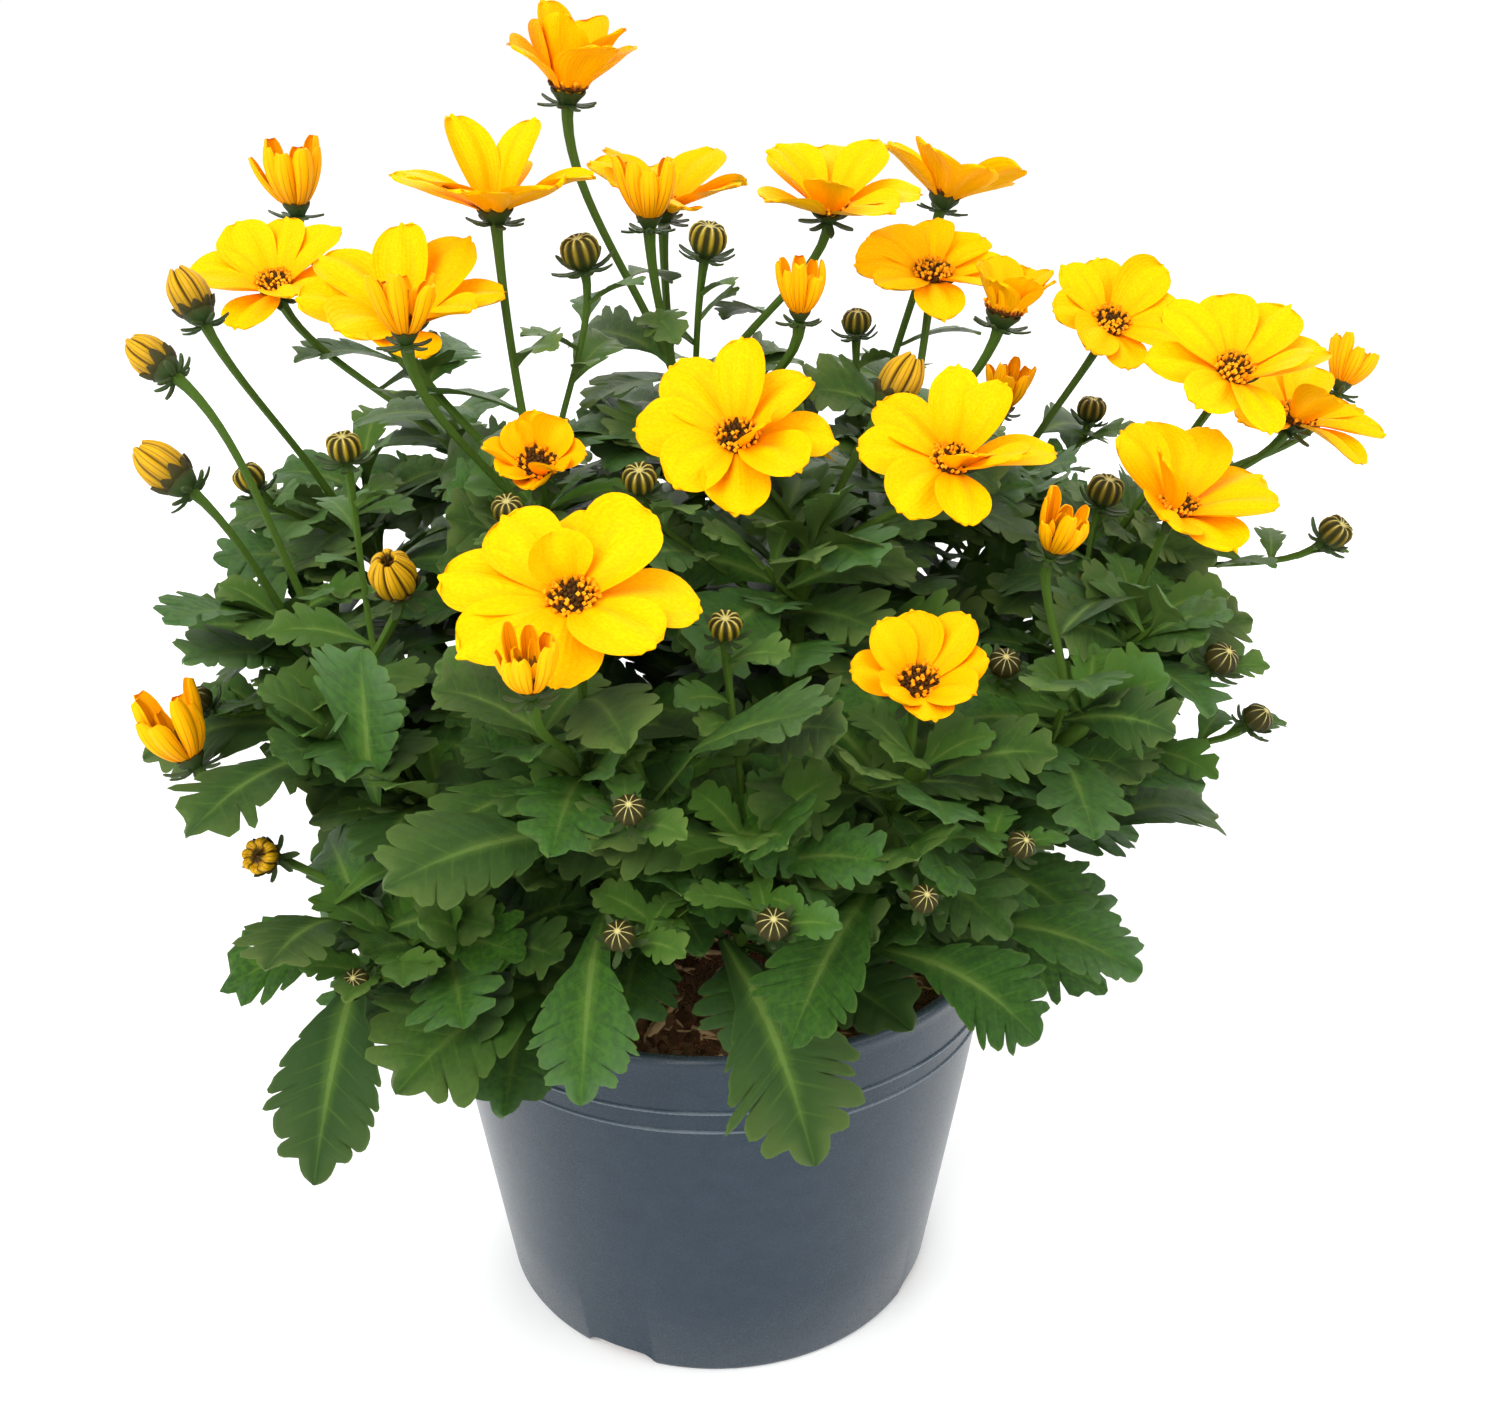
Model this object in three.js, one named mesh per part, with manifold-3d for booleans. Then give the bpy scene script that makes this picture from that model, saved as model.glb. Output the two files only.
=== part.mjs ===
// Potted bidens: a bushy plant with yellow daisy-like heads, in a round grower's pot.
// Millimetres, +Z up. The origin is on the pot's axis, at the level it stands on; -Y is its front.
import * as THREE from 'three'
import { mergeVertices } from 'three/addons/utils/BufferGeometryUtils.js'
import Module from 'manifold-3d'

const wasm = await Module()
wasm.setup()

// Pot
const POT_HEIGHT = 90.3
const RIM_RADIUS = 65
const COLLAR_BOTTOM = 72.3
const COLLAR_RADIUS = 64.2
const BODY_TOP_RADIUS = 62
const FOOT_RADIUS = 51.8
const WALL = 1.6
const FLOOR = 2
const DRAIN_COUNT = 4
const DRAIN_TURN = -26 - 90
const DRAIN_WIDTH = 18
const DRAIN_HEIGHT = 3
const DRAIN_DEPTH = 12
const ROUND_STEPS = 28

// Soil and the holes that the stems stand in
const SOIL_TOP = 84
const SOIL_RELIEF = 0.8
const HOLE_DEPTH = 13
const HOLE_MARGIN = 1.3
const GAP = 0.3

// Plant
const STEM_RADIUS = 1.7
const STALK_RADIUS = 1.15
const TWIG_RADIUS = 0.8
const STEM_SIDES = 4
const STEM_STEPS = 5
const STALK_SIDES = 3
const STALK_STEPS = 3
const TWIG_STEPS = 2
const BLADE_THICKNESS = 0.9
const LEAF_LENGTH = 36
const LEAF_WIDTH = 21
const PETIOLE = 9
const LEAVES_FROM = 0.3
const LEAVES_TO = 1
const LEAF_CLEARANCE = 5.4
const STEM_CLEARANCE = 5
const OWN_CLEARANCE = 3
const BLOOM_CLEARANCE = 3
const PETALS = 8
const DISC_RADIUS = 4.6
const PETAL_SHARE = 0.38
const PETAL_STATIONS = [[0.45, 0.26, 10], [0.8, 0.34, 0], [1, 0.17, -10]]
const BRACTS = 6
const BRACT_REACH = 6.2

const radians = THREE.MathUtils.degToRad
const vector = (x, y, z) => new THREE.Vector3(x, y, z)
const NEEDLE = 0.012
const CLEAN_ROUNDS = 4
const UP = vector(0, 0, 1)

// A unit vector from a turn about Z (0 is +X) and a rise above the horizontal, in degrees.
function heading(turn, rise) {
  const flat = Math.cos(radians(rise))
  return vector(flat * Math.cos(radians(turn)), flat * Math.sin(radians(turn)), Math.sin(radians(rise)))
}

// A repeatable draw between -1 and 1 for one piece, from its number and the trait's number.
function draw(piece, trait) {
  const wave = Math.sin(piece * 12.9898 + trait * 78.233) * 43758.5453
  return 2 * (wave - Math.floor(wave)) - 1
}

// A closed skin through rings of points, as points and triangles with their faces turned outwards.
// A ring of one point ends in a tip, any other end is flat, and a ring may have two or more times
// the points of its neighbour. Facing sides of a blade are split alike, so that they can't cross.
function skin(rings) {
  const points = rings.flat()
  const triangles = []
  let start = 0
  for (let i = 0; i + 1 < rings.length; i++) {
    const here = rings[i].length
    const next = rings[i + 1].length
    const sides = Math.min(here, next)
    const lower = (j) => start + j % here
    const upper = (j) => start + here + j % next
    const [few, many] = here <= next ? [lower, upper] : [upper, lower]
    const ratio = Math.max(here, next) / sides
    for (let j = 0; j < sides; j++) {
      const first = ratio * j
      const odd = ratio === 1 && j % 2 === 1
      for (let k = 0; k < ratio; k++) triangles.push([few(odd ? j + 1 : j), many(first + k + 1), many(first + k)])
      if (sides > 1) triangles.push([few(j), few(j + 1), many(odd ? first : first + ratio)])
      if (here > next) triangles.slice(sides > 1 ? -ratio - 1 : -ratio).forEach((triangle) => triangle.reverse())
    }
    start += here
  }
  const last = rings[rings.length - 1].length
  for (let j = 1; j + 1 < rings[0].length; j++) triangles.push([0, j + 1, j])
  for (let j = 1; j + 1 < last; j++) triangles.push([start, start + j, start + j + 1])
  let volume = 0
  for (const [a, b, c] of triangles) {
    volume += points[a].dot(points[b].clone().cross(points[c]))
  }
  if (volume < 0) triangles.forEach((triangle) => triangle.reverse())
  return { points, triangles }
}

// One solid from skins that share whole faces: a shared face vanishes from both.
function weld(...skins) {
  const points = []
  const places = new Map()
  const faces = new Map()
  for (const part of skins) {
    const index = part.points.map((point) => {
      const key = point.toArray().map((value) => value.toFixed(3)).join()
      if (!places.has(key)) places.set(key, points.push(point) - 1)
      return places.get(key)
    })
    for (const triangle of part.triangles) {
      const corners = triangle.map((corner) => index[corner])
      const key = [...corners].sort((a, b) => a - b).join()
      if (!faces.delete(key)) faces.set(key, corners)
    }
  }
  const vertProperties = new Float32Array(points.flatMap((point) => point.toArray()))
  const triVerts = new Uint32Array([...faces.values()].flat())
  return new wasm.Manifold(new wasm.Mesh({ numProp: 3, vertProperties, triVerts }))
}
const loft = (rings) => weld(skin(rings))

// Faces of a joined solid without the needles that joins leave: points that nearly meet are drawn
// together, and the long side of a triangle that is nearly a line is turned to its third corner.
function cleanFaces(solid) {
  const mesh = solid.getMesh()
  const points = []
  const index = []
  for (let i = 0; i < mesh.vertProperties.length; i += mesh.numProp) {
    const point = vector(...mesh.vertProperties.subarray(i, i + 3))
    const known = points.findIndex((other) => other.distanceTo(point) < NEEDLE)
    index.push(known < 0 ? points.push(point) - 1 : known)
  }
  const triangles = []
  for (let i = 0; i < mesh.triVerts.length; i += 3) {
    const corners = [0, 1, 2].map((j) => index[mesh.triVerts[i + j]])
    if (new Set(corners).size === 3) triangles.push(corners)
  }
  const face = ([a, b, c]) => points[b].clone().sub(points[a]).cross(points[c].clone().sub(points[a]))
  const sides = (corners) => corners.map((corner, j) => points[corner].distanceTo(points[corners[(j + 1) % 3]]))
  const height = (corners) => face(corners).length() / Math.max(...sides(corners))
  for (let round = 0; round < CLEAN_ROUNDS; round++) {
    for (const triangle of triangles) {
      if (height(triangle) > NEEDLE) continue
      const long = sides(triangle).indexOf(Math.max(...sides(triangle)))
      const [a, b, c] = [0, 1, 2].map((j) => triangle[(long + j) % 3])
      const other = triangles.find((item) => item.includes(b) && item[(item.indexOf(b) + 1) % 3] === a)
      if (!other || other.includes(c)) continue
      const d = other.find((corner) => corner !== a && corner !== b)
      const turned = [[a, d, c], [d, b, c]]
      if (Math.min(...turned.map(height)) <= height(triangle)) continue
      if (turned.some((corners) => face(corners).dot(face(other)) < 0)) continue
      triangle.splice(0, 3, ...turned[0])
      other.splice(0, 3, ...turned[1])
    }
  }
  return { points, triangles }
}

// Axes across a direction: one to the side, and one as near as can be to the hinted upper side.
function across(direction, hint) {
  const side = direction.clone().cross(hint)
  if (side.lengthSq() < 1e-4) side.set(1, 0, 0)
  side.normalize()
  return { side, upper: side.clone().cross(direction).normalize() }
}

// The same axes carried round a bend without twisting.
function carried({ side, upper }, from, to) {
  const bend = new THREE.Quaternion().setFromUnitVectors(from, to)
  return { side: side.clone().applyQuaternion(bend), upper: upper.clone().applyQuaternion(bend) }
}

// A point of a head's own frame, where z runs out of the head along its facing.
const headAxes = (head) => across(head.facing, UP)
function headFrame(head) {
  const { side, upper } = headAxes(head)
  return (radius, turn, height) => head.seat.clone()
    .addScaledVector(side, radius * Math.cos(turn))
    .addScaledVector(upper, radius * Math.sin(turn))
    .addScaledVector(head.facing, height)
}

// Rings of a round bar along a curve, with a radius at each end.
function barRings(curve, radiusStart, radiusEnd, steps, sides) {
  const rings = []
  let direction = curve.getTangent(0)
  let axes = across(direction, vector(0, 1, 0))
  for (let i = 0; i <= steps; i++) {
    const t = i / steps
    const middle = curve.getPoint(t)
    axes = carried(axes, direction, curve.getTangent(t))
    direction = curve.getTangent(t)
    const { side, upper } = axes
    const radius = THREE.MathUtils.lerp(radiusStart, radiusEnd, t)
    rings.push(Array.from({ length: sides }, (_, j) => {
      const angle = 2 * Math.PI * (j + 0.5) / sides
      return middle.clone().addScaledVector(side, radius * Math.cos(angle))
        .addScaledVector(upper, radius * Math.sin(angle))
    }))
  }
  return rings
}

// A solid turned about the pot's axis from a profile of [radius, height] pairs.
function turned(profile) {
  const lathe = new THREE.LatheGeometry(profile.map(([r, z]) => new THREE.Vector2(r, z)), ROUND_STEPS)
  lathe.rotateX(Math.PI / 2)
  lathe.deleteAttribute('normal')
  lathe.deleteAttribute('uv')
  const merged = mergeVertices(lathe, 1e-4)
  const place = merged.attributes.position
  const points = Array.from({ length: place.count }, (_, i) => vector().fromBufferAttribute(place, i))
  const triangles = []
  for (let i = 0; i < merged.index.count; i += 3) {
    const corner = [0, 1, 2].map((j) => merged.index.getX(i + j))
    if (new Set(corner).size === 3) triangles.push(corner)
  }
  return weld({ points, triangles })
}

// Pot: one moulding with a rolled lip, a collar with a fine line, and drain notches at the foot.
function makePot() {
  const inner = (radius) => radius - WALL
  let pot = turned([
    [0, 0], [FOOT_RADIUS - 1, 0], [FOOT_RADIUS, 1.2], [60, 55], [BODY_TOP_RADIUS, COLLAR_BOTTOM - 0.6],
    [COLLAR_RADIUS, COLLAR_BOTTOM], [COLLAR_RADIUS + 0.2, 77.4], [RIM_RADIUS, POT_HEIGHT - 1.4],
    [RIM_RADIUS - 0.8, POT_HEIGHT], [RIM_RADIUS - 2.4, POT_HEIGHT], [RIM_RADIUS - 3, POT_HEIGHT - 1.6],
    [inner(COLLAR_RADIUS) - 0.8, COLLAR_BOTTOM], [inner(60), 55], [inner(FOOT_RADIUS), FLOOR], [0, FLOOR],
  ])
  for (let i = 0; i < DRAIN_COUNT; i++) {
    const turn = DRAIN_TURN + i * 360 / DRAIN_COUNT
    const out = heading(turn, 0)
    const side = heading(turn + 90, 0)
    const arch = (radius) => [-1, -0.7, 0.7, 1].map((k) => out.clone().multiplyScalar(radius)
      .addScaledVector(side, k * DRAIN_WIDTH / 2)
      .addScaledVector(UP, Math.abs(k) === 1 ? -1 : DRAIN_HEIGHT))
    pot = pot.subtract(loft([arch(FOOT_RADIUS - DRAIN_DEPTH), arch(FOOT_RADIUS + 4)]))
  }
  return pot
}

// Soil: fills the pot to a few millimetres below the lip, with a crumbly relief on top.
function makeSoil(stems) {
  const wallRadius = (z) => THREE.MathUtils.mapLinear(z, FLOOR, 55, FOOT_RADIUS, 60) - WALL - GAP
  const ring = (radius, height, relief) => Array.from({ length: ROUND_STEPS }, (_, i) => {
    const angle = 2 * Math.PI * i / ROUND_STEPS
    return vector(radius * Math.cos(angle), radius * Math.sin(angle),
      height + relief * draw(i, radius))
  })
  const topRadius = COLLAR_RADIUS - WALL - 1.6
  let soil = loft([
    ring(wallRadius(FLOOR), FLOOR + GAP, 0), ring(wallRadius(55), 55, 0),
    ring(topRadius, COLLAR_BOTTOM, 0), ring(topRadius, SOIL_TOP - 2.5, SOIL_RELIEF / 2),
    ring(48, SOIL_TOP - 1, SOIL_RELIEF), [vector(0, 0, SOIL_TOP)],
  ])
  for (const stem of stems) {
    const lift = stem.curve.getTangent(0)
    const bottom = stem.curve.getPoint(0).addScaledVector(lift, -GAP)
    const top = bottom.clone().addScaledVector(lift, HOLE_DEPTH + 8)
    const reach = STEM_RADIUS + HOLE_MARGIN
    soil = soil.subtract(loft(barRings(new THREE.LineCurve3(bottom, top), reach, reach, 1, STEM_SIDES)))
  }
  return soil
}

// Half widths of a leaf along its blade, as shares of its greatest: lobes with notches between.
const LOBES_SMALL = [[0.16, 0.62], [0.28, 0.3], [0.46, 1], [0.6, 0.46], [0.78, 0.7]]
const LOBES_LARGE = [[0.12, 0.5], [0.2, 0.3], [0.34, 0.86], [0.44, 0.46], [0.58, 1], [0.68, 0.5],
  [0.81, 0.64], [0.89, 0.34]]

// The midrib of a leaf: straight along its stalk, then an arch from the blade's base to its tip.
function leafSpine(leaf) {
  const arch = leaf.base.clone().lerp(leaf.tip, 0.5).addScaledVector(UP, leaf.arch)
  return new THREE.QuadraticBezierCurve3(leaf.base, arch, leaf.tip)
}

// A leaf's side runs one way all along it. Its upper face looks up, and a little in towards the
// pot's axis, before its own roll.
function leafAxes(leaf, direction) {
  const along = leaf.tip.clone().sub(leaf.base).normalize()
  const inwards = vector(-leaf.base.x, -leaf.base.y, 0).normalize().multiplyScalar(0.25)
  const side = across(along, UP.clone().add(inwards)).side.applyAxisAngle(along, leaf.roll)
  side.addScaledVector(direction, -side.dot(direction)).normalize()
  return { side, upper: side.clone().cross(direction) }
}

// A leaf: a slim stalk that widens into a lobed blade, folded up a little along its midrib.
function makeLeaf(leaf) {
  const spine = leafSpine(leaf)
  const section = (middle, { side, upper }, half, thickness) => {
    const edge = (k) => middle.clone().addScaledVector(side, k * half).addScaledVector(upper, 0.05 * half)
    return [edge(-1), edge(1), middle.clone().addScaledVector(upper, -thickness)]
  }
  const stalk = leaf.base.clone().sub(leaf.root).normalize()
  const start = leafAxes(leaf, spine.getTangent(0))
  const rings = [section(leaf.root, carried(start, spine.getTangent(0), stalk), 0.7, 1.2),
    section(spine.getPoint(0.02), start, 0.8, 1.1)]
  for (const [t, share] of leaf.large ? LOBES_LARGE : LOBES_SMALL) {
    rings.push(section(spine.getPoint(t), leafAxes(leaf, spine.getTangent(t)), share * leaf.width / 2, BLADE_THICKNESS))
  }
  rings.push([leaf.tip])
  return loft(rings)
}

// Points on a leaf that stand for it when leaves turn aside from each other.
function leafPoints(leaf) {
  const spine = leafSpine(leaf)
  const stalk = leaf.root.distanceTo(leaf.base)
  const along = [0.45, 0.6, 0.75, 0.9].filter((t) => t * stalk > 5).map((t) => leaf.root.clone().lerp(leaf.base, t))
  return along.concat([0.06, 0.3, 0.54, 0.78, 0.98].flatMap((t) => {
    const { side } = leafAxes(leaf, spine.getTangent(t))
    const half = leaf.width * (t > 0.9 || t < 0.2 ? 0.12 : 0.44)
    return [-half, 0, half].map((k) => spine.getPoint(t).addScaledVector(side, k))
  }))
}

// The turn, in a head's own frame, at which the first side of its stalk arrives.
function arrivalTurn(head, rings) {
  const { side, upper } = headAxes(head)
  const arm = rings[rings.length - 1][0].clone().sub(head.seat)
  return Math.atan2(arm.dot(upper), arm.dot(side))
}

// Stalk of a head with its calyx: a star of narrow green bracts round the seat, all one skin.
function makeStalk(head) {
  const at = headFrame(head)
  const rings = barRings(head.curve, STALK_RADIUS, STALK_RADIUS, STALK_STEPS, STALK_SIDES)
  const first = arrivalTurn(head, rings)
  const star = Array.from({ length: 2 * BRACTS }, (_, i) => {
    const turn = first + Math.PI * i / BRACTS
    const droop = -1.1 - 0.4 * draw(i, head.number)
    return i % 2 ? at(BRACT_REACH * head.scale, turn, droop) : at(1.9 * head.scale, turn, -1)
  })
  return loft([...rings, star, [at(0, 0, 0)]])
}

// Small closed bud: a ribbed brown-green globe on its twig, one skin.
function makeKnob(head) {
  const at = headFrame(head)
  const rings = barRings(head.curve, TWIG_RADIUS, TWIG_RADIUS, TWIG_STEPS, STALK_SIDES)
  const first = arrivalTurn(head, rings)
  const ring = (radius, height) => Array.from({ length: 6 }, (_, i) => at(
    head.scale * radius * (i % 2 ? 0.88 : 1), first + Math.PI * i / 3, head.scale * height))
  return loft([...rings, ring(3.1, 0.6), ring(2.6, 3.4), [at(0, 0, 4.3 * head.scale)]])
}

// Bloom: broad petals in two layers round a domed disc whose florets stand up in relief. Each petal
// is a strap that starts at the disc's edge, is widest past its middle and is blunt at its end.
function makeBloom(head) {
  const at = headFrame(head)
  const sector = 2 * Math.PI / PETALS
  const ring = (radius, height, relief) => Array.from({ length: PETALS }, (_, i) => at(
    radius, sector * (i + 0.25), height + (i % 2 ? relief : -relief)))
  const rim = Array.from({ length: 2 * PETALS }, (_, i) => at(
    DISC_RADIUS, sector * (Math.floor(i / 2) + (i % 2 ? 0.3 : -0.3)), 3.4))
  const keels = Array.from({ length: PETALS }, (_, i) => at(DISC_RADIUS, sector * i, 2.2))
  const hub = skin([[at(0, 0, GAP)], keels, rim, ring(DISC_RADIUS * 0.6, 4.7, 0.5), [at(0, 0, 4.8)]])
  const petals = keels.map((keel, i) => {
    const turn = sector * (i + 0.03 * draw(i, head.number))
    const rise = radians(head.cup + (i % 2 ? 5 : -5) + 7 * draw(i, head.number + 40))
    const length = (head.reach - DISC_RADIUS) * (1 + 0.06 * draw(i, head.number + 80))
    const rings = [[rim[2 * i], rim[2 * i + 1], keel]]
    let radius = DISC_RADIUS
    let height = 3.4
    let before = 0
    for (const [t, half, lift] of PETAL_STATIONS) {
      const slope = Math.min(rise + radians(lift), radians(84))
      radius += (t - before) * length * Math.cos(slope)
      height += (t - before) * length * Math.sin(slope)
      before = t
      const spread = Math.min(half * head.reach, PETAL_SHARE * radius) / radius
      const edge = (side) => at(radius * Math.hypot(1, spread), turn + side * Math.atan(spread), height)
      const keel = at(radius + BLADE_THICKNESS * Math.sin(slope), turn, height - BLADE_THICKNESS * Math.cos(slope))
      rings.push([edge(-1), edge(1), keel])
    }
    return skin(rings)
  })
  return weld(hub, ...petals)
}

// Half-open head: a cup of rolled petals that stand up side by side round a hollow middle.
function makeCup(head) {
  const at = headFrame(head)
  const ring = (radius, height, flute, crown) => Array.from({ length: 2 * PETALS }, (_, i) => at(
    head.scale * radius * (i % 2 ? 1 - flute : 1 + flute * 0.4), Math.PI * (i + 0.3 * draw(i, head.number)) / PETALS,
    head.scale * (height + (i % 2 ? -crown : crown * draw(i, head.number + 7) * 0.4))))
  return loft([
    [at(0, 0, GAP)], ring(5, 3.6, 0.16, 0), ring(6.2, 10, 0.2, 0.5), ring(7.4, 16.5, 0.22, 2.6),
    [at(0, 0, 8 * head.scale)],
  ])
}

// Large yellow bud: ovoid, ribbed by its furled petals.
function makeBud(head) {
  const at = headFrame(head)
  const ring = (radius, height, flute) => Array.from({ length: 12 }, (_, i) => at(
    head.scale * radius * (i % 2 ? 1 - flute : 1), Math.PI * i / 6, head.scale * height))
  return loft([
    [at(0, 0, GAP)], ring(4.7, 3, 0.14), ring(4.9, 7, 0.18), ring(3.2, 10.6, 0.24),
    [at(0, 0, 10.2 * head.scale)],
  ])
}

// The leafy stems: where each leaves the soil, where its leafy part ends, and its pairs of leaves.
const STEMS = [
  { hole: [-8, -19], end: [-24, -60, 148], pairs: 2 },
  { hole: [4, -22], end: [6, -72, 140], pairs: 2 },
  { hole: [16, -18], end: [38, -60, 150], pairs: 2 },
  { hole: [26, -10], end: [74, -38, 150], pairs: 2 },
  { hole: [31, 1], end: [92, -6, 160], pairs: 3 },
  { hole: [29, 12], end: [98, 24, 172], pairs: 3 },
  { hole: [21, 21], end: [74, 54, 176], pairs: 3 },
  { hole: [10, 27], end: [40, 76, 176], pairs: 3 },
  { hole: [-3, 29], end: [-8, 84, 172], pairs: 3 },
  { hole: [-16, 24], end: [-60, 60, 182], pairs: 3 },
  { hole: [-26, 14], end: [-84, 20, 178], pairs: 3 },
  { hole: [-30, 2], end: [-90, -14, 165], pairs: 3 },
  { hole: [-27, -9], end: [-72, -42, 148], pairs: 2 },
  { hole: [-19, -20], end: [-58, -68, 118], pairs: 1 },
  { hole: [-12, 2], end: [-36, -6, 186], pairs: 2 },
  { hole: [9, -6], end: [20, -12, 180], pairs: 2 },
  { hole: [-2, 14], end: [-4, 26, 198], pairs: 3 },
  { hole: [14, 8], end: [44, 26, 188], pairs: 3 },
]

// Open heads: the stem that carries each and how far up it forks, seat, facing, reach and cup angle.
const BLOOMS = [
  { stem: 17, fork: 0.9, seat: [-30, 32, 266], facing: [-60, 76], reach: 21, cup: 48 },
  { stem: 10, fork: 0.85, seat: [-102, 55, 224], facing: [-100, 60], reach: 20, cup: 22 },
  { stem: 15, fork: 0.9, seat: [-63, 5, 221], facing: [-80, 66], reach: 22, cup: 26 },
  { stem: 15, fork: 0.96, seat: [-44, 12, 243], facing: [-90, 80], reach: 22, cup: 24 },
  { stem: 9, fork: 0.9, seat: [-11, 60, 241], facing: [-80, 76], reach: 21, cup: 24 },
  { stem: 17, fork: 0.96, seat: [26, 35, 242], facing: [-95, 62], reach: 21, cup: 22 },
  { stem: 8, fork: 0.9, seat: [56, 68, 243], facing: [20, 74], reach: 20, cup: 32 },
  { stem: 18, fork: 0.95, seat: [51, 45, 227], facing: [-90, 62], reach: 19, cup: 12 },
  { stem: 18, fork: 0.9, seat: [61, 10, 222], facing: [-30, 76], reach: 14, cup: 58 },
  { stem: 7, fork: 0.92, seat: [93, 46, 216], facing: [-80, 50], reach: 18, cup: 24 },
  { stem: 6, fork: 0.85, seat: [111, 10, 210], facing: [-80, 50], reach: 20, cup: 16 },
  { stem: 6, fork: 0.92, seat: [134, 32, 196], facing: [-60, 62], reach: 20, cup: 18 },
  { stem: 5, fork: 0.9, seat: [97, -5, 184], facing: [-72, 62], reach: 21, cup: 30 },
  { stem: 16, fork: 0.95, seat: [5, -15, 201], facing: [-93, 52], reach: 20, cup: 12 },
  { stem: 16, fork: 0.88, seat: [48, -15, 196], facing: [-88, 56], reach: 20, cup: 12 },
  { stem: 1, fork: 0.9, seat: [-24, -65, 183], facing: [-95, 54], reach: 22, cup: 10 },
  { stem: 15, fork: 0.86, seat: [-34, -22, 197], facing: [-90, 50], reach: 12, cup: 44 },
  { stem: 3, fork: 0.9, seat: [37, -55, 163], facing: [-88, 54], reach: 15, cup: 38 },
  { stem: 8, fork: 0.7, seat: [30, 100, 166], facing: [80, 40], reach: 20, cup: 14 },
  { stem: 10, fork: 0.7, seat: [-52, 92, 160], facing: [115, 42], reach: 20, cup: 16 },
]

// Half-open heads and large yellow buds, carried in the same way.
const CUPS = [
  { stem: 10, fork: 0.97, seat: [-103, 84, 241], facing: [-90, 84], scale: 1.1 },
  { stem: 15, fork: 0.8, seat: [-57, -25, 223], facing: [-85, 80], scale: 0.85 },
  { stem: 17, fork: 0.8, seat: [-13, 22, 241], facing: [-90, 84], scale: 0.9 },
  { stem: 6, fork: 0.97, seat: [150, 46, 202], facing: [40, 66], scale: 0.8 },
  { stem: 1, fork: 0.97, seat: [-29, -90, 176], facing: [-92, 76], scale: 0.7 },
  { stem: 13, fork: 0.92, seat: [-102, -40, 144], facing: [180, 70], scale: 0.95 },
  { stem: 4, fork: 0.9, seat: [67, -25, 181], facing: [-60, 66], scale: 0.75 },
  { stem: 17, fork: 0.86, seat: [18, 0, 224], facing: [-90, 80], scale: 0.72 },
  { stem: 18, fork: 0.8, seat: [69, 44, 198], facing: [-60, 72], scale: 0.72 },
  { stem: 9, fork: 0.75, seat: [-12, 104, 176], facing: [100, 62], scale: 0.9 },
]
const BUDS = [
  { stem: 13, fork: 0.96, seat: [-58, -45, 180], facing: [-90, 46], scale: 0.92 },
  { stem: 12, fork: 0.95, seat: [-103, -20, 194], facing: [170, 40], scale: 0.95 },
  { stem: 16, fork: 0.8, seat: [36, 0, 206], facing: [20, 56], scale: 0.95 },
  { stem: 14, fork: 0.9, seat: [-84, -56, 131], facing: [-110, 30], scale: 0.75 },
  { stem: 12, fork: 0.84, seat: [-108, -6, 214], facing: [160, 34], scale: 0.85 },
  { stem: 11, fork: 0.95, seat: [-105, 8, 223], facing: [150, 60], scale: 0.9 },
]

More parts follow.
